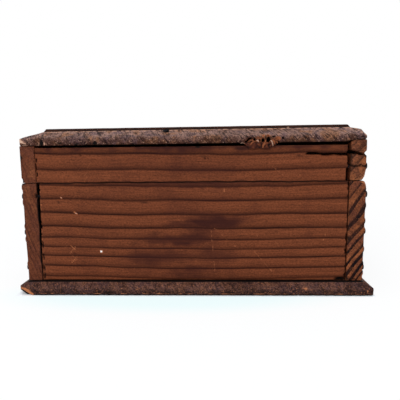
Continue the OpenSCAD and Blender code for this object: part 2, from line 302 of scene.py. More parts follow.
def woodFibre(given):
    # Long streaks and short dark flecks along the grain, which runs along X of the place
    across = over(1.0, given["Width"])
    along = stretch(given["Place"], joined(over(1.0, given["Length"]), across, across))
    return {
        "Streaks": cloud(along, 1.0, 3.0, 0.6),
        "Flecks": fade(cloud(stretch(along, (9.0, 1.6, 1.6)), 1.0, 2.0, 0.55), 0.62, 0.76),
        "Hairs": cloud(stretch(along, (2.4, 3.4, 3.4)), 1.0, 3.0, 0.75),
        "Grit": cloud(stretch(given["Place"], (1.1, 1.8, 1.8)), 1.0, 3.0, 0.8),
    }


def endGrain(given):
    # Open pores, slanting slits and the mottled way that end grain takes up dirt and stain
    place = given["Place"]
    fine, broad = (scaled(place, over(1.0, given[size])) for size in ("Pore Size", "Patch Size"))
    cells = addNode(place.id_data, "TexVoronoi", {"Vector": fine, "Scale": 1.0, "Randomness": 1.0})
    size = joined(0.2, over(1.0, given["Slit Length"]), over(1.0, given["Slit Width"]))
    streak = cloud(stretch(turned(place, given["Slit Turn"]), size), 1.0, 2.0, 0.55, 0.3)
    return {
        "Pores": fade(cells.outputs["Distance"], 0.16, 0.4, 1.0, 0.0),
        "Mottle": cloud(broad, 1.0, 4.0, 0.6),
        "Blotches": cloud(broad, 0.62, 2.0, 0.5, 0.6),
        "Specks": fade(cloud(fine, 1.3, 2.0, 0.6), 0.6, 0.7),
        "Slits": fade(streak, 0.53, 0.63),
        "Streaks": streak,
        "Grit": cloud(place, 1.5, 3.0, 0.75),
    }


def handlingMarks(given):
    # Broad grime and thin pale scratches from use
    place = given["Place"]
    broad = scaled(place, over(1.0, given["Patch Size"]))
    streak = cloud(stretch(turned(place, given["Scratch Turn"]), (0.5, 0.05, 0.9)), 1.0, 1.0)
    line = fade(maths("ABSOLUTE", minus(streak, 0.5)), 0.0, 0.012, 1.0, 0.0)
    some = fade(cloud(place, 0.09), 0.6, 0.72)
    return {"Grime": cloud(broad, 1.0, 4.0, 0.62, 0.4), "Scratches": times(line, some)}


def edgeWear(given):
    # Breaks up a worn edge so that bare wood shows in dashes and spots
    patches = cloud(scaled(given["Place"], over(1.0, given["Patch Size"])), 1.0, 3.0, 0.65)
    return {"Bare": fade(plus(given["Worn"], times(patches, 0.9)), 0.78, 1.12)}


ringGroup = makeGroup("growthRings", growthRings, {
    "Ring": 0.0, "Late Wood": 4.0, "Soft Edge": 0.06, "Weakest": 0.5, "Seed": 0.0})
fibreGroup = makeGroup("woodFibre", woodFibre, {"Place": None, "Length": 30.0, "Width": 0.8})
endGrainGroup = makeGroup("endGrain", endGrain, {
    "Place": None, "Pore Size": 0.8, "Patch Size": 4.0,
    "Slit Turn": -0.87, "Slit Length": 3.6, "Slit Width": 0.75})
handlingGroup = makeGroup("handling", handlingMarks, {
    "Place": None, "Patch Size": 22.0, "Scratch Turn": 0.9})
wearGroup = makeGroup("edgeWear", edgeWear, {"Worn": 0.0, "Place": None, "Patch Size": 1.5})
print("shader groups made")


# Wood finishes. A tone is given as two levels of the noise and how bright the wood is at each.

endBoardLook = {
    "early": paint(108, 57, 34), "late": paint(19, 0, 0), "grime": paint(50, 21, 17),
    "bare": paint(158, 94, 60), "chalk": paint(226, 222, 218), "fresh": paint(176, 112, 70),
    # Heights of the dark lines on the left end, from the base up, and how strong each one is
    "ringHeights": (0.9, 6.9, 11.5, 16.4, 20.6, 25.0, 30.0, 36.3, 42.7, 49.1, 56.2, 63.2, 70.5, 77.0),
    "ringStrengths": (0.7, 0.8, 0.95, 0.95, 0.9, 0.95, 1.0, 0.95, 0.9, 0.85, 0.85, 0.95, 0.7, 0.7),
    "strongest": 1.0, "bow": 0.72, "lean": 0.37, "halfWidth": 60.0, "wander": 2.2, "slant": 0.02,
    "lateWood": 4.8, "softEdge": 0.13, "weakest": 0.95, "lineTone": (0.2, 0.75, 0.75, 1.1),
    "fibreLength": 34.0, "fibreWidth": 0.9, "streakTone": (0.25, 0.75, 0.86, 1.13),
    "hairTone": (0.28, 0.72, 0.76, 1.22), "gritTone": (0.2, 0.8, 0.55, 1.42),
    "grimePatch": 20.0, "grimeRange": (0.45, 0.7), "grimeAmount": 0.3,
    "fleckAmount": 0.35, "scratchAmount": 0.35, "roughness": 0.6,
}

longBoardLook = {
    # The heights at which single dark lines reach the outer face, where they are placed one by one
    "ringHeights": (), "ringStrengths": (), "strongest": 2.0,
    "bare": paint(176, 112, 74), "chalk": paint(205, 196, 188), "fresh": paint(176, 112, 70),
    "endFacing": (0.12, 0.36),  # how far a face looks along the box before it shows end grain
    "bend": 0.0003, "wander": 0.8, "lateWood": 2.0, "softEdge": 0.2, "breakRange": (0.42, 0.62),
    "sideLines": 1.0, "footDark": 0.0, "footHeights": (6.0, 50.0),
    "tanRange": (0.52, 0.62), "duskRange": (0.38, 0.48), "mottleRange": (0.5, 0.68),
    "fibreLength": 40.0, "fibreWidth": 0.8, "streakTone": (0.25, 0.75, 0.84, 1.14),
    "hairTone": (0.25, 0.75, 0.86, 1.13), "gritTone": (0.2, 0.8, 0.8, 1.2),
    "endTone": (0.3, 0.65, 1.07, 0.92), "poreAmount": 0.5,
    "slitLength": 3.6, "slitWidth": 0.75, "slitAmount": 0.0,
    # Between two heights the lower part of each end face darkens towards the foot colour, with mottled edge
    # shade on top: painted shade
    "grimeHeights": (0.0, 6.0), "grimePatch": 24.0, "grimeRange": (0.45, 0.7), "grimeAmount": 0.3,
    "edgeGrime": 0.0, "edgeGrimeTone": (0.35, 0.6, 0.45, 1.0),
    "fleckAmount": 0.35, "scratchAmount": 0.35, "roughness": 0.6,
}

frontBoardLook = longBoardLook | {
    "ringHeights": (1.0, 5.6, 9.8, 12.9, 17.6, 21.9, 27.1, 31.5, 38.4, 45.8, 52.1, 58.5, 65.0),
    "ringStrengths": (0.8, 0.85, 0.8, 0.85, 1.5, 0.85, 0.85, 0.9, 1.02, 1.0, 0.6, 0.8, 0.8),
    "early": paint(112, 62, 38), "foot": paint(106, 57, 35), "sideEarly": paint(106, 56, 35),
    "late": paint(6, 3, 7), "grime": paint(44, 22, 18), "bare": paint(170, 106, 66),
    "tan": paint(150, 86, 50), "dusk": paint(84, 44, 34), "blotchAmount": 0.5,
    "slope": 54.0, "bend": 0.0, "lateWood": 1.5, "softEdge": 0.16, "weakest": 0.9,
    "lineSharp": (0.36, 0.6), "lineBreaks": 0.12, "sideLines": 0.45, "footDark": 0.06,
    "mottleAmount": 0.25, "speckAmount": 0.3, "gritAmount": 1.5, "seed": 3.0,
}

frontRailLook = frontBoardLook | {
    "ringHeights": (), "early": paint(106, 61, 40), "foot": paint(104, 60, 39), "late": paint(30, 16, 13),
    "slope": 48.0, "spacing": 3.6, "bend": 0.0016, "lateWood": 0.9, "softEdge": 0.2, "weakest": 0.5,
    "lineSharp": (0.36, 1.0), "footDark": 0.2, "seed": 6.0,
}

backBoardLook = longBoardLook | {
    "early": paint(96, 51, 32), "foot": paint(96, 51, 32), "sideEarly": paint(104, 54, 34),
    "late": paint(58, 28, 20), "grime": paint(60, 30, 22),
    "bare": paint(138, 84, 56), "fresh": paint(168, 108, 70),
    "tan": paint(126, 74, 46), "dusk": paint(90, 50, 38), "blotchAmount": 0.4,
    "slope": -72.0, "spacing": 1.5, "bend": 0.001, "lateWood": 2.2, "softEdge": 0.15, "weakest": 0.3,
    "lineSharp": (0.0, 1.0), "lineBreaks": 0.6,
    "mottleAmount": 0.3, "speckAmount": 0.1, "gritAmount": 1.2, "seed": 9.0,
}

lidLook = longBoardLook | {
    # The foot colour and the edge shade paint the lid's sideways edge face darker than the bevel above it,
    # as painted shade
    "early": paint(136, 105, 95), "foot": paint(88, 55, 45), "sideEarly": paint(98, 62, 46),
    "late": paint(20, 11, 12), "grime": paint(50, 25, 16),
    "bare": paint(176, 134, 112), "chalk": paint(200, 165, 142), "fresh": paint(140, 80, 50),
    "tan": paint(138, 92, 62), "dusk": paint(80, 62, 68), "blotchAmount": 0.65,
    "slope": -50.0, "spacing": 2.3, "wander": 1.0, "weakest": 0.45,
    "lineSharp": (0.5, 1.0), "lineBreaks": 0.6,
    "slitLength": 5.0, "slitWidth": 0.8, "slitAmount": 0.8, "poreAmount": 0.7,
    "grimeHeights": (67.2, 72.8), "grimeAmount": 0.4, "edgeGrime": 0.9, "roughness": 0.66,
    "mottleAmount": 0.7, "speckAmount": 0.7, "gritAmount": 2.2, "seed": 21.0,
}

baseLook = longBoardLook | {
    # The foot colour and the edge shade paint the base's lower edge face darker than its bevel, as painted
    # shade
    "early": paint(95, 64, 55), "foot": paint(68, 44, 38), "sideEarly": paint(92, 58, 42),
    "late": paint(14, 8, 9), "grime": paint(38, 20, 17),
    "chalk": paint(214, 200, 190), "fresh": paint(190, 118, 74),
    "tan": paint(101, 66, 50), "dusk": paint(64, 45, 46), "blotchAmount": 0.7,
    "slope": -50.0, "spacing": 3.3, "wander": 1.0, "softEdge": 0.3, "weakest": 0.2,
    "lineSharp": (0.4, 1.2), "lineBreaks": 0.8, "slitLength": 3.0, "slitAmount": 0.5, "poreAmount": 0.85,
    "grimeHeights": (0.2, 4.2), "grimeAmount": 0.5, "edgeGrime": 0.5, "roughness": 0.66,
    "mottleAmount": 0.8, "speckAmount": 0.62, "gritAmount": 1.9, "seed": 33.0,
}

ageing = {
    "crevice": paint(13, 8, 7),  # painted shade and dirt in cracks, joints, gaps and under edges
    "stainStart": 0.1, "stainFull": 1.25, "stainStreaks": 0.9,  # streaks of the wood break up a stain
    "bareAmount": 0.8,
    "chalkRange": (1.3, 1.7),  # levels of the worn mark between which bare wood turns to chalk
    "freshRange": (0.22, 0.56),
    "specular": 0.06, "smoothest": -0.06, "roughest": 0.08,
    "lineRelief": 0.5, "hairRelief": 0.8, "bumpStrength": 0.6, "bumpDepth": 0.00015,
}
markNames = ("worn", "stain", "fresh", "crevice")  # painted on the points of every board


def newMaterial(name):
    material = bpy.data.materials.new(name)
    tree = emptyTree(material)
    shader = addNode(tree, "BsdfPrincipled")
    addNode(tree, "OutputMaterial", {0: shader.outputs[0]})
    place = stretch(addNode(tree, "TexCoord").outputs["Object"], (1000.0, 1000.0, 1000.0))  # in millimetres
    return material, shader.inputs, place


def roughen(surface, height, strength, distance):
    bump = addNode(height.id_data, "Bump", {"Strength": strength, "Distance": distance, "Height": height})
    feed(surface["Normal"], bump.outputs[0])


def heightCurve(height, heights, values, top):
    # A table from height to value, with a point at each dark line
    node = addNode(height.id_data, "FloatCurve", {"Factor": 1.0, "Value": over(height, heights[-1])})
    points = node.mapping.curves[0].points
    points[0].location = (heights[0] / heights[-1], values[0] / top)
    points[1].location = (1.0, values[-1] / top)
    for place, value in list(zip(heights, values))[1:-1]:
        points.new(place / heights[-1], value / top)
    for point in points:
        point.handle_type = "VECTOR"
    node.mapping.update()
    return times(node.outputs[0], top)


def ringTable(level, look):
    # How many dark lines lie below a height, and how strong the ones beside it are
    heights = look["ringHeights"]
    return (heightCurve(level, heights, range(len(heights)), len(heights)),
        heightCurve(level, heights, look["ringStrengths"], look["strongest"]))


def fibreTone(fibre, look):
    return times(fade(fibre["Streaks"], *look["streakTone"]), fade(fibre["Hairs"], *look["hairTone"]),
        fade(fibre["Grit"], *look["gritTone"]))


def finishWood(surface, look, place, colour, lines, hairs, streaks, pores):
    # Stains, worn edges, broken wood, and crevices darkened with painted shade and dirt come from the marks
    # painted on each board; the stain mark also carries some painted shade
    worn, stain, fresh, crevice = (addNode(place.id_data, "Attribute",
        attribute_type="GEOMETRY", attribute_name=name).outputs["Fac"] for name in markNames)
    streaky = plus(stain, times(minus(streaks, 0.5), ageing["stainStreaks"]))
    stainedAndShaded = times(fade(streaky, 0.0, ageing["stainFull"]), fade(stain, 0.0, ageing["stainStart"]))
    bare = useGroup(wearGroup, {"Worn": worn, "Place": place})["Bare"]
    colour = coat(colour, look, (stainedAndShaded, "grime"), (times(bare, ageing["bareAmount"]), "bare"),
        (fade(worn, *ageing["chalkRange"]), "chalk"))
    torn = blend(fade(hairs, *ageing["freshRange"]), look["late"], look["fresh"])
    feed(surface["Base Color"], blend(crevice, blend(fresh, colour, torn), ageing["crevice"]))
    feed(surface["Roughness"], fade(hairs, 0.2, 0.8,
        look["roughness"] + ageing["smoothest"], look["roughness"] + ageing["roughest"]))
    surface["Specular IOR Level"].default_value = ageing["specular"]
    height = plus(times(lines, ageing["lineRelief"]), times(hairs, ageing["hairRelief"]))
    roughen(surface, minus(height, pores), ageing["bumpStrength"], ageing["bumpDepth"])


def makeEndBoardWood(name, look):
    # Rings cross the face as long bowed lines
    material, surface, place = newMaterial(name)
    x, y, z = split(place)
    reach = over(y, look["halfWidth"])
    wander = minus(cloud(stretch(place, (0.02, 0.028, 0.05)), 1.0), 0.5)
    level = minus(z, plus(times(reach, reach, look["bow"]), times(reach, look["lean"])))
    level = plus(level, times(wander, look["wander"]), times(plus(x, endWall), look["slant"]))
    ring, strength = ringTable(level, look)
    rings = useGroup(ringGroup, {
        "Ring": ring, "Late Wood": look["lateWood"],
        "Soft Edge": look["softEdge"], "Weakest": look["weakest"]})
    line = times(rings["Line"], strength)
    fibre = useGroup(fibreGroup, {
        "Place": joined(y, x, level), "Length": look["fibreLength"], "Width": look["fibreWidth"]})
    handling = useGroup(handlingGroup, {"Place": place, "Patch Size": look["grimePatch"]})
    patchy = maths("MULTIPLY", line, fade(fibre["Streaks"], *look["lineTone"]), clamp=True)
    colour = blend(patchy, look["early"], look["late"])
    colour = coat(scaled(colour, fibreTone(fibre, look)), look,
        (times(fade(handling["Grime"], *look["grimeRange"]), look["grimeAmount"]), "grime"),
        (times(fibre["Flecks"], look["fleckAmount"]), "late"),
        (times(handling["Scratches"], look["scratchAmount"]), "bare"))
    finishWood(surface, look, place, colour, line, fibre["Hairs"], fibre["Streaks"], fibre["Flecks"])
    return material


def makeLongBoardWood(name, look):
    # Rings slant across the end grain and run the length of the sides
    material, surface, place = newMaterial(name)
    y, z = split(place)[1:]
    facing = split(addNode(place.id_data, "TexCoord").outputs["Normal"])[0]
    ends = fade(maths("ABSOLUTE", facing), *look["endFacing"])
    slope = math.radians(look["slope"])
    across = plus(times(y, math.sin(slope)), times(z, math.cos(slope)))
    drift = minus(cloud(stretch(place, (0.008, 0.05, 0.05)), 1.0), 0.5)
    across = plus(across, times(across, across, look["bend"]), times(drift, look["wander"] * 4))
    if look["ringHeights"]:
        ring, strength = ringTable(plus(over(across, math.cos(slope)), sideWall * math.tan(slope)), look)
    else:
        ring, strength = over(across, look["spacing"]), 1.0
    rings = useGroup(ringGroup, {
        "Ring": ring, "Late Wood": look["lateWood"], "Soft Edge": look["softEdge"],
        "Weakest": look["weakest"], "Seed": look["seed"]})
    fibre = useGroup(fibreGroup, {
        "Place": place, "Length": look["fibreLength"], "Width": look["fibreWidth"]})
    grain = useGroup(endGrainGroup, {
        "Place": place, "Slit Length": look["slitLength"], "Slit Width": look["slitWidth"]})
    handling = useGroup(handlingGroup, {"Place": place, "Patch Size": look["grimePatch"]})
    line = times(fade(times(rings["Line"], strength), *look["lineSharp"]),
        minus(1.0, times(fade(grain["Mottle"], *look["breakRange"]), look["lineBreaks"])),
        fade(z, *look["footHeights"], 1.0, 1.0 - look["footDark"]),
        fade(ends, 0.0, 1.0, look["sideLines"], 1.0))
    # Painted shade: end faces darken towards their foot, like a sideways face lit from above
    lowDown = fade(z, *look["grimeHeights"], 1.0, 0.0)
    early = blend(ends, look["sideEarly"], blend(lowDown, look["early"], look["foot"]))
    colour = coat(early, look,
        (times(fade(grain["Blotches"], *look["tanRange"]), look["blotchAmount"], ends), "tan"),
        (times(fade(grain["Blotches"], *look["duskRange"], 1.0, 0.0), look["blotchAmount"], ends), "dusk"),
        (line, "late"))
    grit = plus(times(minus(grain["Grit"], 0.5), look["gritAmount"] * 2), 1.0)
    endTone = times(grit, fade(grain["Streaks"], *look["endTone"]))
    tone = addNode(place.id_data, "Mix", {0: ends, 2: fibreTone(fibre, look), 3: endTone})
    pores = times(grain["Pores"], ends, look["poreAmount"])
    flecks = times(fibre["Flecks"], minus(1.0, ends), look["fleckAmount"])
    slits = times(grain["Slits"], ends, look["slitAmount"])
    colour = coat(scaled(colour, tone.outputs[0]), look,
        (times(fade(grain["Mottle"], *look["mottleRange"]), look["mottleAmount"]), "grime"),
        (times(fade(handling["Grime"], *look["grimeRange"]), look["grimeAmount"]), "grime"),
        # mottled painted shade low on the end faces
        (times(lowDown, fade(grain["Mottle"], *look["edgeGrimeTone"]), look["edgeGrime"]), "grime"),
        (maths("MAXIMUM", maths("ADD", pores, flecks, clamp=True), slits), "late"),
        (times(grain["Specks"], ends, look["speckAmount"]), "bare"),
        (times(handling["Scratches"], look["scratchAmount"]), "bare"))
    finishWood(surface, look, place, colour, line, fibre["Hairs"], grain["Streaks"], pores)
    return material


endBoardWood = makeEndBoardWood("endBoardWood", endBoardLook)
frontBoardWood = makeLongBoardWood("frontBoardWood", frontBoardLook)
frontRailWood = makeLongBoardWood("frontRailWood", frontRailLook)
backBoardWood = makeLongBoardWood("backBoardWood", backBoardLook)
lidWood = makeLongBoardWood("lidWood", lidLook)
baseWood = makeLongBoardWood("baseWood", baseLook)
print("wood finishes made")


# Iron and brass

ironLook = {
    "iron": paint(18, 16, 18), "rust": paint(36, 23, 20), "shine": paint(104, 108, 120), "roughness": 0.45}
brassLook = {
    "brass": paint(150, 122, 74), "tarnish": paint(84, 64, 42), "verdigris": paint(86, 96, 74),
    "roughness": 0.42}


def makeNailIron(name, look):
    material, surface, place = newMaterial(name)
    rust = fade(cloud(place, 0.9, 4.0, 0.65), 0.46, 0.66)
    rubbedAndSheen = fade(cloud(place, 1.7), 0.6, 0.7)
    colour = blend(rust, look["iron"], look["rust"])
    feed(surface["Base Color"], blend(times(rubbedAndSheen, 0.5), colour, look["shine"]))
    feed(surface["Metallic"], fade(rust, 0.0, 1.0, 0.75, 0.1))
    feed(surface["Roughness"], fade(rust, 0.0, 1.0, look["roughness"], 0.85))
    surface["Specular IOR Level"].default_value = 0.15
    roughen(surface, cloud(place, 2.6, 3.0), 0.6, 0.0001)
    return material


def makeOldBrass(name, look):
    material, surface, place = newMaterial(name)
    tarnish = fade(cloud(place, 0.35, 5.0, 0.62), 0.38, 0.66)
    green = fade(cloud(place, 0.8, 3.0, 0.6), 0.64, 0.74)
    colour = blend(tarnish, look["brass"], look["tarnish"])
    feed(surface["Base Color"], blend(times(green, 0.6), colour, look["verdigris"]))
    feed(surface["Metallic"], fade(green, 0.0, 1.0, 0.95, 0.25))
    feed(surface["Roughness"], fade(tarnish, 0.0, 1.0, look["roughness"], 0.66))
    roughen(surface, cloud(stretch(place, (0.15, 4.0, 4.0)), 1.0), 0.35, 0.00008)  # rolled brass
    return material


def dress(nodeNames, material):
    for nodeName in nodeNames:
        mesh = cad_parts[nodeName].data
        mesh.materials.clear()
        mesh.materials.append(material)


dress(["front_corner_nails", "back_corner_nails", "lid_front_corner_nails", "lid_back_corner_nails",
    "lid_board_nails", "base_nails"], makeNailIron("nailIron", ironLook))
dress([side + "_hinge_" + part for side in ("left", "right")
    for part in ("body_leaf", "lid_leaf", "pin", "body_nails", "lid_nails")],
    makeOldBrass("hingeBrass", brassLook))
print("iron and brass made")


# Boards

def blockBetween(low, high):
    bm = bmesh.new()
    bmesh.ops.create_cube(bm, size=1.0)
    bmesh.ops.scale(bm, vec=high - low, verts=bm.verts)
    bmesh.ops.translate(bm, vec=(high + low) / 2, verts=bm.verts)
    return bm


def blockPlanes(low, high):
    # Each plane is a normal that faces outwards and the distance along it
    planes = []
    for axis in range(3):
        for sign, corner in ((-1, low), (1, high)):
            normal = Vector((0, 0, 0))
            normal[axis] = sign
            planes.append((normal, sign * corner[axis]))
    return planes


def planeThrough(a, b, c, inside):
    # A plane through three points, facing away from a point inside the wood
    a, b, c = Vector(a), Vector(b), Vector(c)
    normal = (b - a).cross(c - a).normalized()
    if normal.dot(Vector(inside) - a) > 0:
        normal.negate()
    return normal, normal.dot(a)


def bevelPlane(axis, sign, corner, level, inset, top, inside):
    # The slope along one side, from an edge at one level to a line that is set in from it
    a, b, c = Vector((0, 0, 0)), Vector((0, 0, 0)), Vector((0, 0, 0))
    a[axis], a.z = corner, level
    b[axis], b[1 - axis], b.z = corner, 1, level
    c[axis], c.z = corner - sign * inset, top
    return planeThrough(a, b, c, inside)


def everything(bm):
    return bm.verts[:] + bm.edges[:] + bm.faces[:]


def trim(bm, plane):
    # Saws off what lies outside a plane and closes the cut
    normal, distance = plane
    cut = bmesh.ops.bisect_plane(bm, geom=everything(bm), dist=1e-4, plane_co=normal * distance,
        plane_no=normal, clear_outer=True)
    rim = [part for part in cut["geom_cut"] if isinstance(part, bmesh.types.BMEdge)]
    bmesh.ops.edgeloop_fill(bm, edges=rim)


def cutPlaces(low, high, step, close=(0.2, 0.5, 0.9, 1.5, 2.3)):
    # Cuts at an even step, with closer ones beside both ends
    count = max(1, round((high - low - 2 * close[-1]) / step))
    even = [low + close[-1] + (high - low - 2 * close[-1]) * i / count for i in range(count + 1)]
    return [low + c for c in close[:-1]] + even + [high - c for c in reversed(close[:-1])]


def sliceAcross(bm, axis, places):
    # Puts a row of edges round the board at each place
    normal = Vector((0, 0, 0))
    normal[axis] = 1
    for place in places:
        bmesh.ops.bisect_plane(bm, geom=everything(bm), dist=1e-4, plane_co=normal * place, plane_no=normal)


def reachOf(point, place, size):
    # 0 in the middle of a soft round spot and 1 at its edge
    return sum(((point[i] - place[i]) / size[i]) ** 2 for i in range(3))


def spotStrength(point, spots):
    # How strongly a point lies in spots, each given as place, size and strength
    strength = 0.0
    for place, size, amount in spots:
        strength += amount * max(0.0, 1 - reachOf(point, place, size))
    return strength


def raggedSpots(point, spots, ragged):
    # The same with an uneven outline
    wobble = Vector((noise.noise(point * 0.19), noise.noise(point * 0.19 + Vector((9, 4, 7))),
        noise.noise(point * 0.23)))
    return min(1.0, spotStrength(point + wobble * ragged, spots))


def scratchStrength(point, scratches):
    # How strongly a point lies on thin straight scratches, given by both ends, width and strength
    strength = 0.0
    for start, end, width, amount in scratches:
        start, end = Vector(start), Vector(end)
        along = end - start
        share = min(1.0, max(0.0, (point - start).dot(along) / along.length_squared))
        away = (point - start - along * share).length / width
        if away < 1:
            strength = max(strength, amount * (1 - away))
    return strength


def roundedPoint(point, planes, radius):
    # Pulls a point on a sharp edge back onto a rounded one
    inner = point.copy()
    for turn in range(4):
        for normal, distance in planes:
            gap = distance - normal.dot(inner)
            if gap < radius:
                inner -= normal * (radius - gap)
    outward = point - inner
    return inner + outward.normalized() * radius if outward.length > 1e-6 else point


def facesAny(normal, sides):
    # Sides are given as an axis and a sign
    return any(normal[axis] * sign > 0.75 for axis, sign in sides)


def wearBoard(bm, planesAt, board, carve=None):
    # Rounds the edges unevenly, lets the open faces dip a little, carves and paints the marks
    layers = {name: bm.verts.layers.float.new(name) for name in markNames}
    bm.normal_update()
    normals = [vertex.normal.copy() for vertex in bm.verts]
    shift = Vector(board["noiseShift"])
    for vertex, normal in zip(bm.verts, normals):
        point = vertex.co.copy()
        planes, radius, wornPaint = planesAt(point)
        slow = noise.noise(point * board["slowScale"] + shift)
        quick = noise.noise(point * board["quickScale"] + shift)
        nick = max(0.0, noise.noise(point * board["nickScale"] - shift) - board["nickFloor"])
        uneven = radius * (1 + 0.5 * slow + 0.45 * quick) + nick * board["nicks"]
        here = max(board["leastRadius"], uneven + spotStrength(point, board["softEdges"]))
        near = [plane for plane in planes if plane[1] - plane[0].dot(point) < here]
        moved = roundedPoint(point, near, here) if len(near) > 1 else point.copy()
        worn = min(1.0, (moved - point).length / (0.45 * radius)) * wornPaint
        fresh, crevice = 0.0, 0.0
        # Faces that meet other boards are painted dark as shade, and lightly in the clean middle
        if facesAny(normal, board["hiddenFaces"]):
            inside = abs(point.x) < board["inside"][0] and abs(point.y) < board["inside"][1]
            crevice = board["insideDirt"] if inside else board["hiddenDirt"]
        elif not facesAny(normal, board["flatFaces"]):
            slowDip = 0.5 + 0.5 * noise.noise(point * board["dipScale"] - shift)
            moved -= normal * (board["unevenness"] * (slowDip + 0.35 * (0.5 + 0.5 * quick)))
        for place, size, push in board["dents"]:
            reach = reachOf(point, place, size)
            if reach < 1:
                moved += Vector(push) * (1 - reach) ** 0.6
                # The hollow of a dent is painted dark as shade
                crevice = max(crevice, min(1.0, 1.6 * (1 - reach)))
        for place, size, push in board["swells"]:
            moved += Vector(push) * min(1.0, 2 * spotStrength(point, [(place, size, 1.0)]))
        pale = max(spotStrength(point, board["paleSpots"]), scratchStrength(point, board["scratches"]))
        stain = raggedSpots(point, board["stains"], board["stainRagged"])
        if carve:
            offset, bared, dirty, paintedShade, rubbedAndSheen = carve(point, normal)
            moved += offset
            fresh, crevice = bared, max(crevice, dirty)
            stain, pale = max(stain, paintedShade), max(pale, rubbedAndSheen)
        vertex.co = moved
        # Dark spots deepen the crevice mark: painted shade along joints and saw cuts, and dark marks of the
        # wood
        crevice = min(1.0, crevice + raggedSpots(point, board["darkSpots"], board["darkRagged"]))
        for name, amount in zip(markNames, (max(worn, pale), stain, fresh, crevice)):
            vertex[layers[name]] = amount


def finishPiece(bm, name, body, nodes, material):
    bmesh.ops.remove_doubles(bm, verts=bm.verts, dist=0.002)
    bmesh.ops.recalc_face_normals(bm, faces=bm.faces)
    for face in bm.faces:
        face.smooth = True
    bmesh.ops.scale(bm, vec=(0.001, 0.001, 0.001), verts=bm.verts)
    mesh = bpy.data.meshes.new(name)
    bm.to_mesh(mesh)
    bm.free()
    mesh.materials.append(material)
    piece = bpy.data.objects.new(name, mesh)
    bpy.context.scene.collection.objects.link(piece)
    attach(piece, body)
    if nodes:
        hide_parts(*nodes)
    print(name, "has", len(mesh.polygons), "faces")


def nodeBox(node):
    low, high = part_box(node)
    return Vector(low) * 1000, Vector(high) * 1000


plainBoard = {
    "edgeRadius": 0.35, "leastRadius": 0.08, "unevenness": 0.08, "nicks": 1.6, "wornPaint": 0.55,
    # How fine the noise is that makes slow and quick wear, dips and nicks, and the level that nicks
    "slowScale": 0.06, "quickScale": 0.45, "dipScale": 0.11, "nickScale": 0.16, "nickFloor": 0.42,
    "noiseShift": (0, 0, 0),
    "softEdges": [((0, 0, 50.95), (900, 900, 0.9), -0.25)],  # crisp beside the saw cut
    "dents": [], "swells": [], "paleSpots": [], "scratches": [], "darkSpots": [],
    "stains": [], "stainRagged": 2.0, "darkRagged": 0.6,
    "steps": (3.0, 1.4, 1.4),  # distances between the cuts along each axis
    "hiddenFaces": [], "flatFaces": [],  # each an axis and a sign
    "inside": (0.0, 0.0),  # half length and depth of the clean middle of a hidden face
    # How dark faces that meet other boards are painted as shade, at their edges and in the clean middle
    "hiddenDirt": 0.9, "insideDirt": 0.1,
    "footGap": 0.0,
    "setBack": 0.0,  # how far a front face lies behind its CAD one
}


def spots(x, deep, rows):
    # Marks on an end, each given as its place across and up, half its width and height, and its amount
    return [((x, across, up), (deep, wide, tall), amount) for across, up, wide, tall, amount in rows]


def scratches(rows):
    # Each goes from one place across and up to another, and has a width and an amount
    return [((leftEnd, fromAcross, fromUp), (leftEnd, toAcross, toUp), width, amount)
        for fromAcross, fromUp, toAcross, toUp, width, amount in rows]


def dents(rows):
    # Like spots, with a depth before the width, and how far each is pushed in
    return [((leftEnd, across, up), (deep, wide, tall), (push, 0, 0))
        for across, up, deep, wide, tall, push in rows]


def edgeSwells(y, tall, push, heights):
    # Low swells on the outer edge of a long board's end
    return [((leftEnd, y, height), (3, 1.5, tall), (0, push, 0)) for height in heights]


def raggedJoint(y, fromZ, toZ, count):
    # Small bites out of an upright edge, spread along a joint
    return [((leftEnd, y + luck.uniform(-0.3, 0.3), luck.uniform(fromZ, toZ)),
        (1.6, luck.uniform(0.2, 0.45), luck.uniform(0.4, 1.3)), (1.0, 0, 0)) for bite in range(count)]


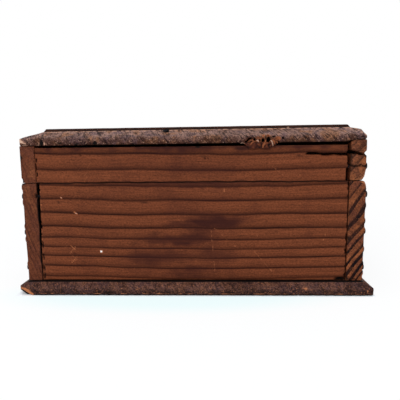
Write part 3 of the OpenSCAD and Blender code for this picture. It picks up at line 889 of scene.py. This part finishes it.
# The marks of the left end board are where they are seen from the left
leftEndBoard = plainBoard | {
    "edgeRadius": 0.28, "noiseShift": (3, 1, 2), "steps": (3.0, 0.65, 0.6), "footGap": 0.4,
    "hiddenFaces": [(1, -1), (1, 1), (2, -1)], "flatFaces": [(2, 1)],
    "jointOpening": 1.2,  # how much the back joint widens from foot to top
    "stains": spots(leftEnd, 9, [
        (-13, 33.4, 15, 4.4, 1.1), (3, 32.2, 13, 2.4, 0.7), (-3, 28.5, 9, 3, 0.5), (6, 24.6, 19, 3.6, 0.85),
        (16, 16.8, 20, 4.0, 0.55), (2, 9.2, 14, 3.2, 0.5), (-10, 49.8, 45, 2.0, 0.7), (6, 17, 46, 17, 0.3),
        (10, 43, 50, 9, 0.28), (26, 13, 15, 6, 0.25), (-12, 17.5, 13, 4, 0.5)]),
    "paleSpots": spots(leftEnd, 3, [
            (41.8, 19.4, 0.7, 0.57, 3.6), (-14.5, 47.2, 0.5, 1.3, 0.8), (58.8, 44.3, 0.5, 0.4, 2.0)])
        + spots(leftEnd, 2, [(69.3 - 0.026 * height, height, 0.5, 1.1, 0.55) for height in range(9, 50, 2)]),
    "scratches": scratches([
        (56.4, 18.6, 53.4, 21.8, 0.6, 0.8), (55.6, 22, 53.8, 20.2, 0.5, 0.7),
        (55.8, 14.2, 52.9, 17.2, 0.6, 0.8), (55.4, 17.4, 53, 15.2, 0.5, 0.7),
        (-8.5, 29.0, -10.2, 8.5, 0.9, 0.52), (-26, 21.5, -36, 9.8, 0.8, 0.55),
        (-10, 30, -20, 21, 0.9, 0.45), (-33, 30, -40, 20, 0.7, 0.45), (-59.5, 28, -58.6, 24.5, 0.5, 0.75),
        (53.4, 37.7, 52.0, 36.8, 0.5, 1.7), (-28.5, 27.4, -29.6, 26.2, 0.5, 0.8)]),
    "dents": dents([(-66.8, 6.4, 3, 3.0, 0.9, 1.6)])
        + raggedJoint(-68.65, 6, 50, 24) + raggedJoint(69.0, 6, 50, 16),
    # The long thin last dark spot is painted shade along the saw cut
    "darkSpots": spots(leftEnd, 3, [
        (60, 42.4, 0.7, 0.6, 0.9), (21.5, 41.6, 2.2, 0.5, 0.7), (0, 50.9, 160, 0.45, 0.9)]),
}

rightEndBoard = plainBoard | {
    "noiseShift": (13, 5, 2), "jointOpening": 1.2, "hiddenFaces": [(1, -1), (1, 1)]}

leftEndRail = plainBoard | {
    "edgeRadius": 0.25, "noiseShift": (5, 8, 1), "steps": (3.0, 0.65, 0.5),
    "hiddenFaces": [(1, -1), (1, 1), (2, 1)], "flatFaces": [(2, -1)],
    # The wide band along the top is painted shade under the lid's edge over a dark ring; the others are
    # stains
    "stains": spots(leftEnd, 20, [(0, 69.0, 130, 5.0, 1.5)])
        + spots(leftEnd, 9, [(-2, 60, 36, 6, 0.3), (-4, 55, 24, 4, 0.4)]),
    "scratches": scratches([(-35, 58, -41, 53, 0.8, 0.5), (-44, 56.5, -49, 52.5, 0.8, 0.4)]),
    # A long crack, its branch, three pits and the ragged joints
    "dents": dents([(-51.5 - 1.4 * i, 62.8 - 0.02 * i + 0.12 * math.sin(i), 6, 1.7, 0.34 + 0.015 * i, 3.5)
            for i in range(13)])
        + dents([(-51.5 - 1.2 * i, 63.3 - 0.1 * i, 4, 1.3, 0.35, 2.0) for i in range(4)])
        + dents([(48.9, 63.1, 2, 0.45, 0.4, 1.2), (-6.3, 61.4, 2, 0.4, 0.3, 0.8),
            (-7.6, 61.2, 2, 0.4, 0.3, 0.8)])
        + raggedJoint(-68.1, 52, 66, 6) + raggedJoint(69.4, 52, 66, 5)
        + dents([(-68.6, 58.8 + 1.1 * i, 3, 0.85, 0.9, 2.4) for i in range(8)])
        + dents([(-68.0, height, 3, 0.75, 1.5, 2.6) for height in (52.0, 53.2, 54.4, 55.2)]),
    # The long thin last dark spot is painted shade along the saw cut
    "darkSpots": spots(leftEnd, 3, [
        (-46.8, 62.1, 1.8, 0.7, 0.5), (-5.2, 62.4, 2.0, 1.0, 0.35), (-20, 65.6, 6, 0.8, 0.3),
        (-3.0, 66.5, 1.3, 0.7, 1.4), (0, 51.0, 160, 0.35, 0.8)]),
}

rightEndRail = plainBoard | {"noiseShift": (15, 8, 4), "hiddenFaces": [(1, -1), (1, 1), (2, 1)]}

frontBoard = plainBoard | {
    "edgeRadius": 0.45, "nicks": 2.6, "noiseShift": (7, 2, 9), "steps": (2.0, 1.2, 1.0),
    "flatFaces": [(2, 1)],
    "softEdges": plainBoard["softEdges"] + [((0, -sideWall, 50.8), (400, 4, 3), 1.6)],
    "swells": edgeSwells(-sideWall, 1.2, -0.35, (9.5, 13.6, 20.3, 28.7, 33.0, 39.7)),
    "darkSpots": spots(leftEnd, 2, [
        (-69.3, 25.4, 1.0, 1.2, 1.0), (-69.3, 19.0, 0.9, 1.0, 1.0), (-69.6, 6.6, 0.6, 0.8, 1.3),
        (-72.3, 6.3, 1.4, 0.5, 1.2)]),
}

frontRail = plainBoard | {
    "edgeRadius": 0.5, "nicks": 2.8, "noiseShift": (2, 6, 4), "steps": (2.0, 0.6, 0.55),
    "hiddenFaces": [(2, 1)], "flatFaces": [(2, -1)],
    "softEdges": plainBoard["softEdges"] + [((0, -sideWall, 51.1), (400, 4, 5), 2.0)],
    "setBack": 0.5,
    "swells": [((leftEnd, -74.5, 68), (5, 5.5, 1.6), (0, 0, 0.9))],  # meets the lid's broken corner
    # The end of the crack, a thin second one, and where both notch the outer edge
    "dents": dents([(-68.9 - 0.75 * i, 63.6 - 0.16 * i, 7, 0.9, 1.0 - 0.1 * i, 4.5) for i in range(8)])
        + dents([(-68.9 - 0.8 * i, height, 5, 0.7, 0.38, 1.3)
            for i, height in enumerate((57.9, 57.6, 57.3, 57.1, 57.1, 57.3, 57.8, 57.5, 57.1))])
        + [((leftEnd, -sideWall, 62.9), (9, 1.8, 0.8), (0, 1.0, 0)),
            ((leftEnd, -sideWall, 57.4), (8, 1.6, 0.6), (0, 0.7, 0))],
    "paleSpots": spots(leftEnd, 2, [(-74.1, 61.4, 0.45, 1.0, 1.5)]),
    "darkSpots": spots(leftEnd, 2, [(-75.6, 61.8, 0.5, 1.2, 1.3), (-69.2, 61, 0.5, 7, 0.9)]),
}

backBoard = plainBoard | {
    "edgeRadius": 0.4, "noiseShift": (1, 12, 3), "steps": (2.0, 1.0, 1.0), "flatFaces": [(2, 1)],
    "dents": dents([(70.2, 44.9, 5, 1.1, 1.2, 2.2)]),
    "swells": edgeSwells(sideWall, 1.3, 0.35, (13.6, 25.3, 30.9, 42.4, 49.0)),
    # A column of painted shade down the joint behind the left end board
    "darkSpots": spots(-113, 9, [(69.8, 5.6 + 4 * i, 0.5, 4, 1.0) for i in range(12)])
        + spots(leftEnd, 3, [(76.2, 50.8, 1.6, 0.7, 1.2)]),
}

backRail = plainBoard | {
    "edgeRadius": 0.4, "noiseShift": (4, 14, 6), "steps": (2.0, 1.0, 0.7),
    "hiddenFaces": [(2, 1)], "flatFaces": [(2, -1)],
    "dents": [((leftEnd, sideWall, 51.9), (7, 1.0, 1.4), (0.3, -0.4, 0))],
    "darkSpots": spots(leftEnd, 3, [(sideWall, 62.6, 1.2, 1.1, 1.6)]),
}


def makePlainBoard(node, board, body, material):
    low, high = nodeBox(node)
    low.z += board["footGap"]
    low.y += board["setBack"]
    bm = blockBetween(low, high)
    planes = blockPlanes(low, high)
    if "jointOpening" in board:
        planes.append(bevelPlane(1, 1, high.y, low.z, board["jointOpening"], high.z, (0, 0, 0)))
        trim(bm, planes[-1])
    for axis in sorted(range(3), key=lambda i: board["steps"][i] / (high[i] - low[i])):
        sliceAcross(bm, axis, cutPlaces(low[axis], high[axis], board["steps"][axis]))
    wearBoard(bm, lambda point: (planes, board["edgeRadius"], board["wornPaint"]), board)
    finishPiece(bm, node + "_wood", body, [node], material)


for node, board, body, material in (
    ("left_end_board", leftEndBoard, "box", endBoardWood),
    ("right_end_board", rightEndBoard, "box", endBoardWood),
    ("lid_left_end_rail", leftEndRail, "lid", endBoardWood),
    ("lid_right_end_rail", rightEndRail, "lid", endBoardWood),
    ("front_board", frontBoard, "box", frontBoardWood),
    ("lid_front_rail", frontRail, "lid", frontRailWood),
    ("back_board", backBoard, "box", backBoardWood),
    ("lid_back_rail", backRail, "lid", backBoardWood),
):
    makePlainBoard(node, board, body, material)
print("plain boards made")


# Base board with its bevelled edge

baseBoard = plainBoard | {
    "edgeRadius": 0.7, "nicks": 2.2, "noiseShift": (8, 3, 5), "unevenness": 0.15, "wornPaint": 0.42,
    # The black line round the foot of the box is painted shade
    "jointDirt": 0.9,  # width of the black line round the foot of the box
    "edgeHeight": 3.6, "bevelWidth": 3.9, "steps": (2.4, 0.8, 0.7),
    "footCuts": (-0.3, 0.3, 0.6, 1.0),  # extra cuts beside the foot of each wall
    "rubbedHeights": (0.7, 1.3),  # of the thin pale line above the lower edge, which is painted dark as shade
    # The corner at the left end of the back is broken away in facets, each given by three points:
    # an upright one, a hidden one under the board, one painted dark as shade under the pale one, and the
    # pale one that faces the end
    "breakX": -116.5, "breakDepth": 0.12,  # how far the last two reach along the box, and into the wood
    "breaks": (
        ((-119.4, 78.5, 0.0), (-119.4, 78.5, 5.0), (-117.0, 79.8, 0.0)),
        ((-117.8, 80.4, 2.96), (-117.8, 76.7, 0.0), (-106.0, 82.0, 0.0)),
        ((-118.8, 79.35, 3.95), (-119.2, 73.1, 0.0), (-117.8, 80.4, 2.96)),
        ((-119.4, 78.5, 4.9), (-119.4, 72.4, 0.0), (-118.8, 79.35, 3.95)),
    ),
    "softEdges": [((-119.4, -80.4, 1), (8, 5, 5), 0.45), ((-118.4, 77, 2.5), (3, 7, 5), -0.6)],
    "paleSpots": spots(-119.4, 2, [
            (-50.2, 3.4, 1.4, 0.8, 0.8), (-57.8, 3.4, 0.4, 0.7, 1.0), (-59.2, 1.6, 0.5, 0.5, 1.0),
            (-77.6, 2.0, 0.7, 0.9, 0.9), (-56.0, 1.2, 0.5, 0.4, 1.0)])
        + spots(-119.4, 3, [(-56.4, 5.2, 0.4, 0.6, 1.0)]),
    "darkSpots": spots(-119.4, 2, [
        (-7 * i + luck.uniform(-4, 4), luck.uniform(0.8, 3.2), luck.uniform(0.8, 3), 0.8, 0.7)
        for i in range(-10, 11)]),
}


def makeBaseBoard(board):
    low, high = nodeBox("base_board")
    bm = blockBetween(low, high)
    edge, width = board["edgeHeight"], board["bevelWidth"]
    bevels = [bevelPlane(axis, sign, corner[axis], edge, width, high.z, (0, 0, 0))
        for axis in (0, 1) for sign, corner in ((-1, low), (1, high))]
    breaks = [planeThrough(*points, (0, 0, 3)) for points in board["breaks"]]
    for plane in bevels + breaks:
        trim(bm, plane)
    planes = blockPlanes(low, high) + bevels + breaks
    for axis, wall in enumerate((endWall, sideWall)):
        footCuts = [sign * (wall + c) for sign in (-1, 1) for c in board["footCuts"]]
        sliceAcross(bm, axis, sorted(cutPlaces(low[axis], high[axis], board["steps"][axis]) + footCuts))
    sliceAcross(bm, 2, cutPlaces(low.z, high.z, board["steps"][2]))
    rubbedFrom, rubbedTo = board["rubbedHeights"]

    def onFacet(point, plane):
        return point.x < board["breakX"] and plane[1] - plane[0].dot(point) < board["breakDepth"]

    def carve(point, normal):
        # Painted shade round the foot of the box, along the lower edge and under the broken corner, with a
        # thin rubbed line over it
        foot = max(abs(point.x) - endWall, abs(point.y) - sideWall)
        underBreak, onBreak = (onFacet(point, plane) for plane in breaks[-2:])
        dirty = (point.z > 3 and abs(foot) < board["jointDirt"]
            or (point.z < rubbedFrom or underBreak) and not onBreak)
        patchy = noise.noise(Vector((point.y * 0.3, point.x * 0.3, 4)))
        rubbedAndSheen = 0.42 + 0.6 * patchy if rubbedFrom < point.z < rubbedTo else 0.0
        return Vector((0, 0, 0)), float(onBreak), float(dirty), 0.0, rubbedAndSheen

    wearBoard(bm, lambda point: (planes, board["edgeRadius"], board["wornPaint"]), board, carve)
    finishPiece(bm, "base_board_wood", "box", ["base_board"], baseWood)


makeBaseBoard(baseBoard)
print("base board made")


# Lid board with its raised field

lidBoard = plainBoard | {
    "edgeRadius": 0.45, "noiseShift": (6, 9, 12), "unevenness": 0.12,
    "wornPaint": 0.3, "fieldRadius": 0.3, "fieldPaint": 0.15,
    "thickness": 7.7, "fieldStep": 1.4, "stepSlope": 0.9, "edge": 3.2, "frontEdge": 5.3,
    "sideOverhang": 0.0, "endOverhang": 0.6, "endBevel": 7.9, "backBevel": 8.3, "frontBevel": 5.0,
    "setBack": 0.6,
    "tilt": math.degrees(math.atan(0.5 / 153)), "steps": (3.0, 0.8, 0.9),
    "softEdges": [((-115.6, -76.5, 71), (10, 4, 5), 0.8), ((0, -76.5, 73), (400, 3, 3), 1.2)],
    "swells": [((-115.6, 76.6, 69.6), (16, 2.2, 3.2), (0, -0.5, 0))],
    "paleSpots": spots(-115.6, 4, [
            (76.2, 69.9, 1.0, 1.1, 1.9), (75.1, 69.2, 1.3, 0.75, 1.9), (73.7, 68.6, 1.1, 0.5, 1.6),
            (73.6, 67.7, 1.5, 0.3, 1.5), (-75.9, 70.9, 1.3, 1.5, 2.0), (-73.9, 71.6, 0.9, 0.6, 1.4)])
        + spots(-115.6, 3, [(64.7, 68.4, 0.5, 0.8, 1.3)]) + spots(-107.9, 1.2, [(-43, 74.1, 0.6, 0.6, 2.4)])
        # The next two pale spots are painted glints on both sides of the nail head on the bevel
        + spots(-109.5, 2, [(13.6, 74.1, 0.7, 0.5, 2.2), (9.3, 73.7, 0.5, 0.5, 2.2)]),
    # The underside is painted dark towards its edges, as shade in the gap over the walls
    "hiddenFaces": [(2, -1)], "hiddenDirt": 0.5, "inside": (107.0, 68.5),
    "darkSpots": spots(-115.6, 3, [
            (65.9, 68.8, 0.9, 1.5, 3.4), (42.3, 68.3, 1.2, 1.1, 3.0), (57.7, 68.6, 0.9, 0.6, 1.6),
            (50.5, 68.2, 1.2, 0.6, 1.8), (-73.4, 69.4, 1.2, 0.5, 1.4), (-71.2, 68.6, 1.2, 0.4, 1.2)])
        + spots(-115.6, 4, [(75.0, 71.0, 0.9, 0.5, 1.4), (73.9, 68.1, 1.0, 0.35, 1.3)])
        + spots(-115.6, 2, [(-3, 67.8, 1.6, 0.8, 1.0)]) + spots(-109.5, 3.2, [(11.4, 73.8, 1.5, 1.3, 2.4)]),
    "stains": spots(-115.6, 3, [(67.9, 69.6, 2.4, 1.5, 0.7), (62.2, 69.6, 2.6, 1.3, 0.7)])
        + spots(-113, 6, [(58.9, 71.4, 3.0, 1.3, 0.6)]) + spots(-112, 6, [(64.5, 72.6, 2.0, 1.0, 0.5)])
        + spots(leftEnd, 6, [(33, 69.4, 6, 1.6, 0.6), (-8, 69.0, 8, 1.5, 0.5)]),
    "stainRagged": 0.6,
    "fineCuts": (65.6, 42.3, 11.4),  # where small marks need closer cuts
    "heightCuts": (0.15, 0.4, 0.7, 1.0, 1.3, 1.6, 1.9, 2.2, 2.5, 2.8,
        3.6, 4.4, 5.0, 6.15, 6.5, 6.75, 7.0, 7.25, 7.5),
    "tornCorner": (-110, -67.8, 2.0),  # where the underside is torn at the crack: x, y and how high up
}

# The gnawed chip in the lower edge of the lid's left end, and the torn wood that hangs out of it.
# Places are across the box and up from the underside of the lid.
chip = {
    "from": -38.6, "to": -22.6, "height": 2.5, "roughness": 0.8, "depth": 3.0,
    # Each hole with half its width and half its height
    "holes": ((-25.2, 1.65, 0.55, 0.5), (-24.6, 1.1, 0.55, 0.5), (-24.0, 0.4, 0.55, 0.6),
        (-26.2, 1.95, 0.8, 0.4),
        (-27.6, 1.5, 0.55, 0.65), (-26.1, 0.1, 0.65, 0.5), (-28.6, 1.1, 0.6, 0.22), (-29.8, 1.1, 0.7, 0.22),
        (-31.3, 1.0, 0.85, 0.85), (-33.6, 1.0, 1.0, 1.6), (-32.4, 2.1, 0.24, 0.9), (-35.8, 2.5, 0.7, 0.32),
        (-39.8, 1.9, 0.5, 0.4), (-37.4, 0.3, 0.6, 0.4), (-33.4, 3.1, 0.25, 0.25)),
    "tornSpots": ((-37.6, 1.7, 1.5, 1.1), (-33.4, 3.0, 0.9, 0.8), (-31.4, 3.0, 0.7, 0.6),
        (-29.0, 2.4, 0.6, 0.4),
        (-26.8, 1.2, 0.5, 0.4), (-24.4, 0.2, 0.4, 0.4), (-35.3, 0.6, 1.0, 0.9), (-29.0, 0.5, 1.0, 0.7)),
    # Slivers from one place to another, their thickness and whether they are pale, torn, or dark with
    # painted shade and dirt
    "slivers": (
        ((-28.5, 1.0), (-29.2, 0.2), 0.4, "pale"), ((-32.3, 1.1), (-32.1, -0.6), 0.34, "torn"),
        ((-32.1, -0.2), (-31.0, -2.3), 0.62, "torn"), ((-34.6, 0.9), (-35.4, -1.5), 0.36, "pale"),
        ((-35.3, 1.1), (-36.0, -0.8), 0.5, "torn"), ((-36.6, 0.3), (-37.4, -0.4), 0.3, "torn"),
        ((-21.6, -0.2), (-23.2, -0.35), 0.14, "pale"), ((-30.3, 0.2), (-30.4, -2.2), 0.2, "dirty"),
        ((-27.0, 0.3), (-25.8, -1.0), 0.4, "torn"), ((-33.6, -1.4), (-33.9, -2.6), 0.34, "dirty"),
        ((-28.4, -1.4), (-29.2, -1.7), 0.24, "dirty"), ((-24.2, -1.5), (-25.0, -2.6), 0.24, "dirty")),
    "sliverSides": 6, "sliverTaper": 0.35, "sliverCuts": 4, "sliverBulge": 0.25,
    "flapFrom": -36.9, "flapTo": -22.9, "flapTop": 0.1, "flapDrop": 3.0, "flapThickness": 0.5,
    "flapOut": 0.15,  # how far it stands out from the end of the lid
    "flapStep": 0.35,  # distance between its cuts
    "strays": 9, "strayLength": (0.6, 1.5), "strayThickness": (0.08, 0.16),
}


def makeLidBoard(board):
    underside = nodeBox("lid_back_rail")[1]
    halfLength = nodeBox("front_board")[1].x + board["endOverhang"]
    halfDepth = nodeBox("back_board")[1].y + board["sideOverhang"]
    bottom, fieldTop = underside.z, underside.z + board["thickness"]
    bevelTop = fieldTop - board["fieldStep"]
    low = Vector((-halfLength, board["setBack"] - halfDepth, bottom))
    high = Vector((halfLength, halfDepth, bevelTop))
    bm = blockBetween(low, high)
    planes = blockPlanes(low, high)[:5]  # all but the top
    field = [(Vector((0, 0, 1)), fieldTop)]
    for axis, sign, width, edge in (
        (0, -1, board["endBevel"], board["edge"]), (0, 1, board["endBevel"], board["edge"]),
        (1, -1, board["frontBevel"], board["frontEdge"]), (1, 1, board["backBevel"], board["edge"]),
    ):
        corner = (low, high)[sign > 0][axis]
        planes.append(bevelPlane(axis, sign, corner, bottom + edge, width, bevelTop, (0, 0, bottom)))
        trim(bm, planes[-1])
        field.append(bevelPlane(axis, sign, corner - sign * width, bevelTop, board["stepSlope"], fieldTop,
            (0, 0, bevelTop)))
    top = max(bm.faces, key=lambda face: face.calc_center_median().z)
    raised = bmesh.ops.extrude_face_region(bm, geom=[top])
    bmesh.ops.delete(bm, geom=[top], context="FACES_ONLY")
    for part in raised["geom"]:
        if isinstance(part, bmesh.types.BMVert):
            part.co.x -= math.copysign(board["stepSlope"], part.co.x)
            part.co.y -= math.copysign(board["stepSlope"], part.co.y)
            part.co.z += board["fieldStep"]

    crossCuts = cutPlaces(low.y, high.y, board["steps"][1])
    crossCuts += [place + 0.27 * i for place in board["fineCuts"] for i in range(-5, 6)]
    crossCuts += [chip["from"] - 2 + (chip["to"] - chip["from"] + 3) * (i + 0.5) / 64 for i in range(64)]
    endCuts = [0.3 + 0.7 * i for i in range(13)]
    lengthCuts = cutPlaces(low.x + 10, high.x - 10, board["steps"][0])
    lengthCuts += [low.x + c for c in endCuts] + [high.x - c for c in endCuts]
    sliceAcross(bm, 1, sorted(crossCuts))
    sliceAcross(bm, 0, sorted(lengthCuts))
    sliceAcross(bm, 2, [bottom + c for c in board["heightCuts"]])
    tornX, tornY, tornHeight = board["tornCorner"]

    def planesAt(point):
        if point.z > bevelTop + 0.01:
            return field, board["fieldRadius"], board["fieldPaint"]
        return planes, board["edgeRadius"], board["wornPaint"]

    def carve(point, normal):
        # The gnawed chip, the step painted dark as shade, a pale line at its foot painted as a highlight on
        # the worn arris, and the torn corner
        offset, dirty, bared, paintedShade = Vector((0, 0, 0)), 0.0, 0.0, 0.0
        up = point.z - bevelTop
        if up < 0:
            offset, dirty, bared = chipMarks(point, bottom, low.x)
        patchy = noise.noise(Vector((point.y * 0.5, point.x * 0.5, 2.0)))
        if up > 0.05 and max(abs(normal.x), abs(normal.y)) > 0.2:
            dirty = 0.8 if up < board["fieldStep"] * (0.4 + 0.5 * patchy) else 0.1
            paintedShade = 1.5
        rubbedAndSheen = 0.55 + 0.5 * patchy if -0.3 < up < 0.02 and patchy > -0.15 else 0.0
        if point.x < tornX and point.y < tornY and point.z < bottom + tornHeight:
            torn = noise.noise(Vector((point.y * 1.3, point.z * 1.5, 5.0)))
            lift = 0.25 + (tornY - point.y) * 0.1 + 0.5 * torn
            offset.z += max(0.0, lift) * max(0.0, 1 - (point.z - bottom) / tornHeight)
            dirty = max(dirty, 1.0 if point.z < bottom + 0.3 else 0.0)
        return offset, bared, dirty, paintedShade, rubbedAndSheen

    wearBoard(bm, planesAt, board, carve)
    bmesh.ops.rotate(bm, verts=bm.verts, cent=(0, underside.y, underside.z),
        matrix=Matrix.Rotation(math.radians(-board["tilt"]), 3, "X"))
    finishPiece(bm, "lid_board_wood", "lid", ["lid_board"], lidWood)
    return bottom, low.x


def chipMarks(point, bottom, endX):
    # How far the wood is gnawed away at a point, how dark it is painted with shade and dirt, and how bare
    up, inward = point.z - bottom, point.x - endX
    gone, dirty, bared = 0.0, 0.0, 0.0
    for across, height, wide, tall in chip["holes"]:
        reach = ((point.y - across) / wide) ** 2 + ((up - height) / tall) ** 2 + (inward / 2.5) ** 2
        if reach < 1:
            gone = max(gone, chip["depth"] * (1 - reach) ** 0.5)
            dirty = max(dirty, min(1.0, 2.6 * (1 - reach)))
    for across, height, wide, tall in chip["tornSpots"]:
        reach = ((point.y - across) / wide) ** 2 + ((up - height) / tall) ** 2
        if reach < 1 and inward < 1.5:
            bared = max(bared, min(1.0, 1.8 * (1 - reach)))
    middle, half = (chip["from"] + chip["to"]) / 2, (chip["to"] - chip["from"]) / 2
    ragged = 1.1 - (abs(point.y - middle) / half) ** 4 - max(0.0, up / chip["height"]) ** 2
    ragged += 0.5 * noise.noise(Vector((point.y * 0.5, up * 0.8, 3.0)))
    if ragged > 0 and inward < 2:
        rough = 0.5 + noise.noise(Vector((point.y * 1.1, up * 1.2, 8.0)))
        gone = max(gone, chip["roughness"] * min(1.0, 2 * ragged) * max(0.0, rough))
        bared = max(bared, min(0.6, ragged * 0.9) * (0.6 + rough))
        dirty = max(dirty, min(0.7, 0.9 * (0.35 - rough)))
    return Vector((gone, 0, 0)), dirty, min(1.0, bared)


def makeSliver(bm, start, end, thick, bulge):
    # A tapering bent sliver between two points
    along = end - start
    bmesh.ops.create_cone(bm, cap_ends=True, segments=chip["sliverSides"], radius1=thick,
        radius2=thick * chip["sliverTaper"], depth=along.length)
    sides = [edge for edge in bm.edges if not edge.verts[0].tag
        and abs(edge.verts[0].co.z - edge.verts[1].co.z) > 0.1]
    bmesh.ops.subdivide_edges(bm, edges=sides, cuts=chip["sliverCuts"])
    sliver = [vertex for vertex in bm.verts if not vertex.tag]  # those of earlier slivers are tagged
    for vertex in sliver:
        share = vertex.co.z / along.length
        vertex.co.x += bulge * (1 - 4 * share ** 2) + 0.3 * thick * noise.noise(vertex.co * 2.1 + start)
        vertex.tag = True
    bmesh.ops.rotate(bm, verts=sliver, cent=(0, 0, 0), matrix=along.to_track_quat("Z", "X").to_matrix())
    bmesh.ops.translate(bm, verts=sliver, vec=(start + end) / 2)
    return sliver


def makeTornFlap(bottom, endX):
    # Torn wood that hangs over the gap under the lid
    front, top = endX - chip["flapOut"], bottom + chip["flapTop"]
    low = Vector((front, chip["flapFrom"], top - chip["flapDrop"]))
    high = Vector((front + chip["flapThickness"], chip["flapTo"], top))
    bm = blockBetween(low, high)
    layers = {name: bm.verts.layers.float.new(name) for name in markNames}
    for axis, end in ((1, 40), (2, 10)):
        sliceAcross(bm, axis, [low[axis] + chip["flapStep"] * i for i in range(1, end)])
    for vertex in bm.verts:
        point = vertex.co.copy()
        share = (point.y - low.y) / (high.y - low.y)
        torn = noise.noise(Vector((point.y * 0.7, 3.0, 1.0)))
        reach = min(1.0, 0.3 + 2.6 * share, 0.15 + 5 * (1 - share)) * (0.9 + 0.25 * torn)
        rough = noise.noise(Vector((point.y * 0.9, point.z * 0.8, 6.0)))
        vertex.co.z = high.z + (point.z - high.z) * reach
        vertex.co.x -= 0.35 * rough if point.x < endX + 0.1 else 0.0
        vertex[layers["stain"]] = 0.8 - 0.6 * rough
        vertex[layers["worn"]] = max(0.0, 0.9 * rough - 0.2)
        vertex[layers["crevice"]] = min(1.0, max(0.0, -0.5 - 2.6 * rough))
    finishPiece(bm, "lid_torn_flap", "lid", [], endBoardWood)


def makeTornWood(bottom, endX):
    # Slivers of torn wood round the flap, and strays placed by chance
    bm = bmesh.new()
    layers = {name: bm.verts.layers.float.new(name) for name in markNames}
    marks = {"pale": ("worn", 1.42), "torn": ("fresh", 1.0), "dirty": ("crevice", 0.9)}
    for (fromAcross, fromUp), (toAcross, toUp), thick, kind in chip["slivers"]:
        start = Vector((endX + 0.1, fromAcross, bottom + fromUp))
        end = Vector((endX - 0.5, toAcross, bottom + toUp))
        layer, amount = marks[kind]
        for vertex in makeSliver(bm, start, end, thick, chip["sliverBulge"]):
            vertex[layers[layer]] = amount
    for stray in range(chip["strays"]):
        start = Vector((endX + luck.uniform(0.2, 0.8), luck.uniform(chip["from"] + 1, chip["to"] - 1),
            bottom + luck.uniform(0, 2.4)))
        lean = Vector((luck.uniform(-0.5, 0.1), luck.uniform(-0.7, 0.7), luck.uniform(-1, 0.3)))
        end = start + lean.normalized() * luck.uniform(*chip["strayLength"])
        sliver = makeSliver(bm, start, end, luck.uniform(*chip["strayThickness"]), luck.uniform(-0.3, 0.3))
        amount = luck.uniform(0.4, 1.0)
        for vertex in sliver:
            vertex[layers["fresh"]] = amount
    finishPiece(bm, "lid_torn_wood", "lid", [], lidWood)


bottom, endX = makeLidBoard(lidBoard)
bottom += math.tan(math.radians(lidBoard["tilt"])) * (sideWall - chip["from"])  # it rises to the front
makeTornFlap(bottom, endX)
makeTornWood(bottom, endX)
print("lid board made")
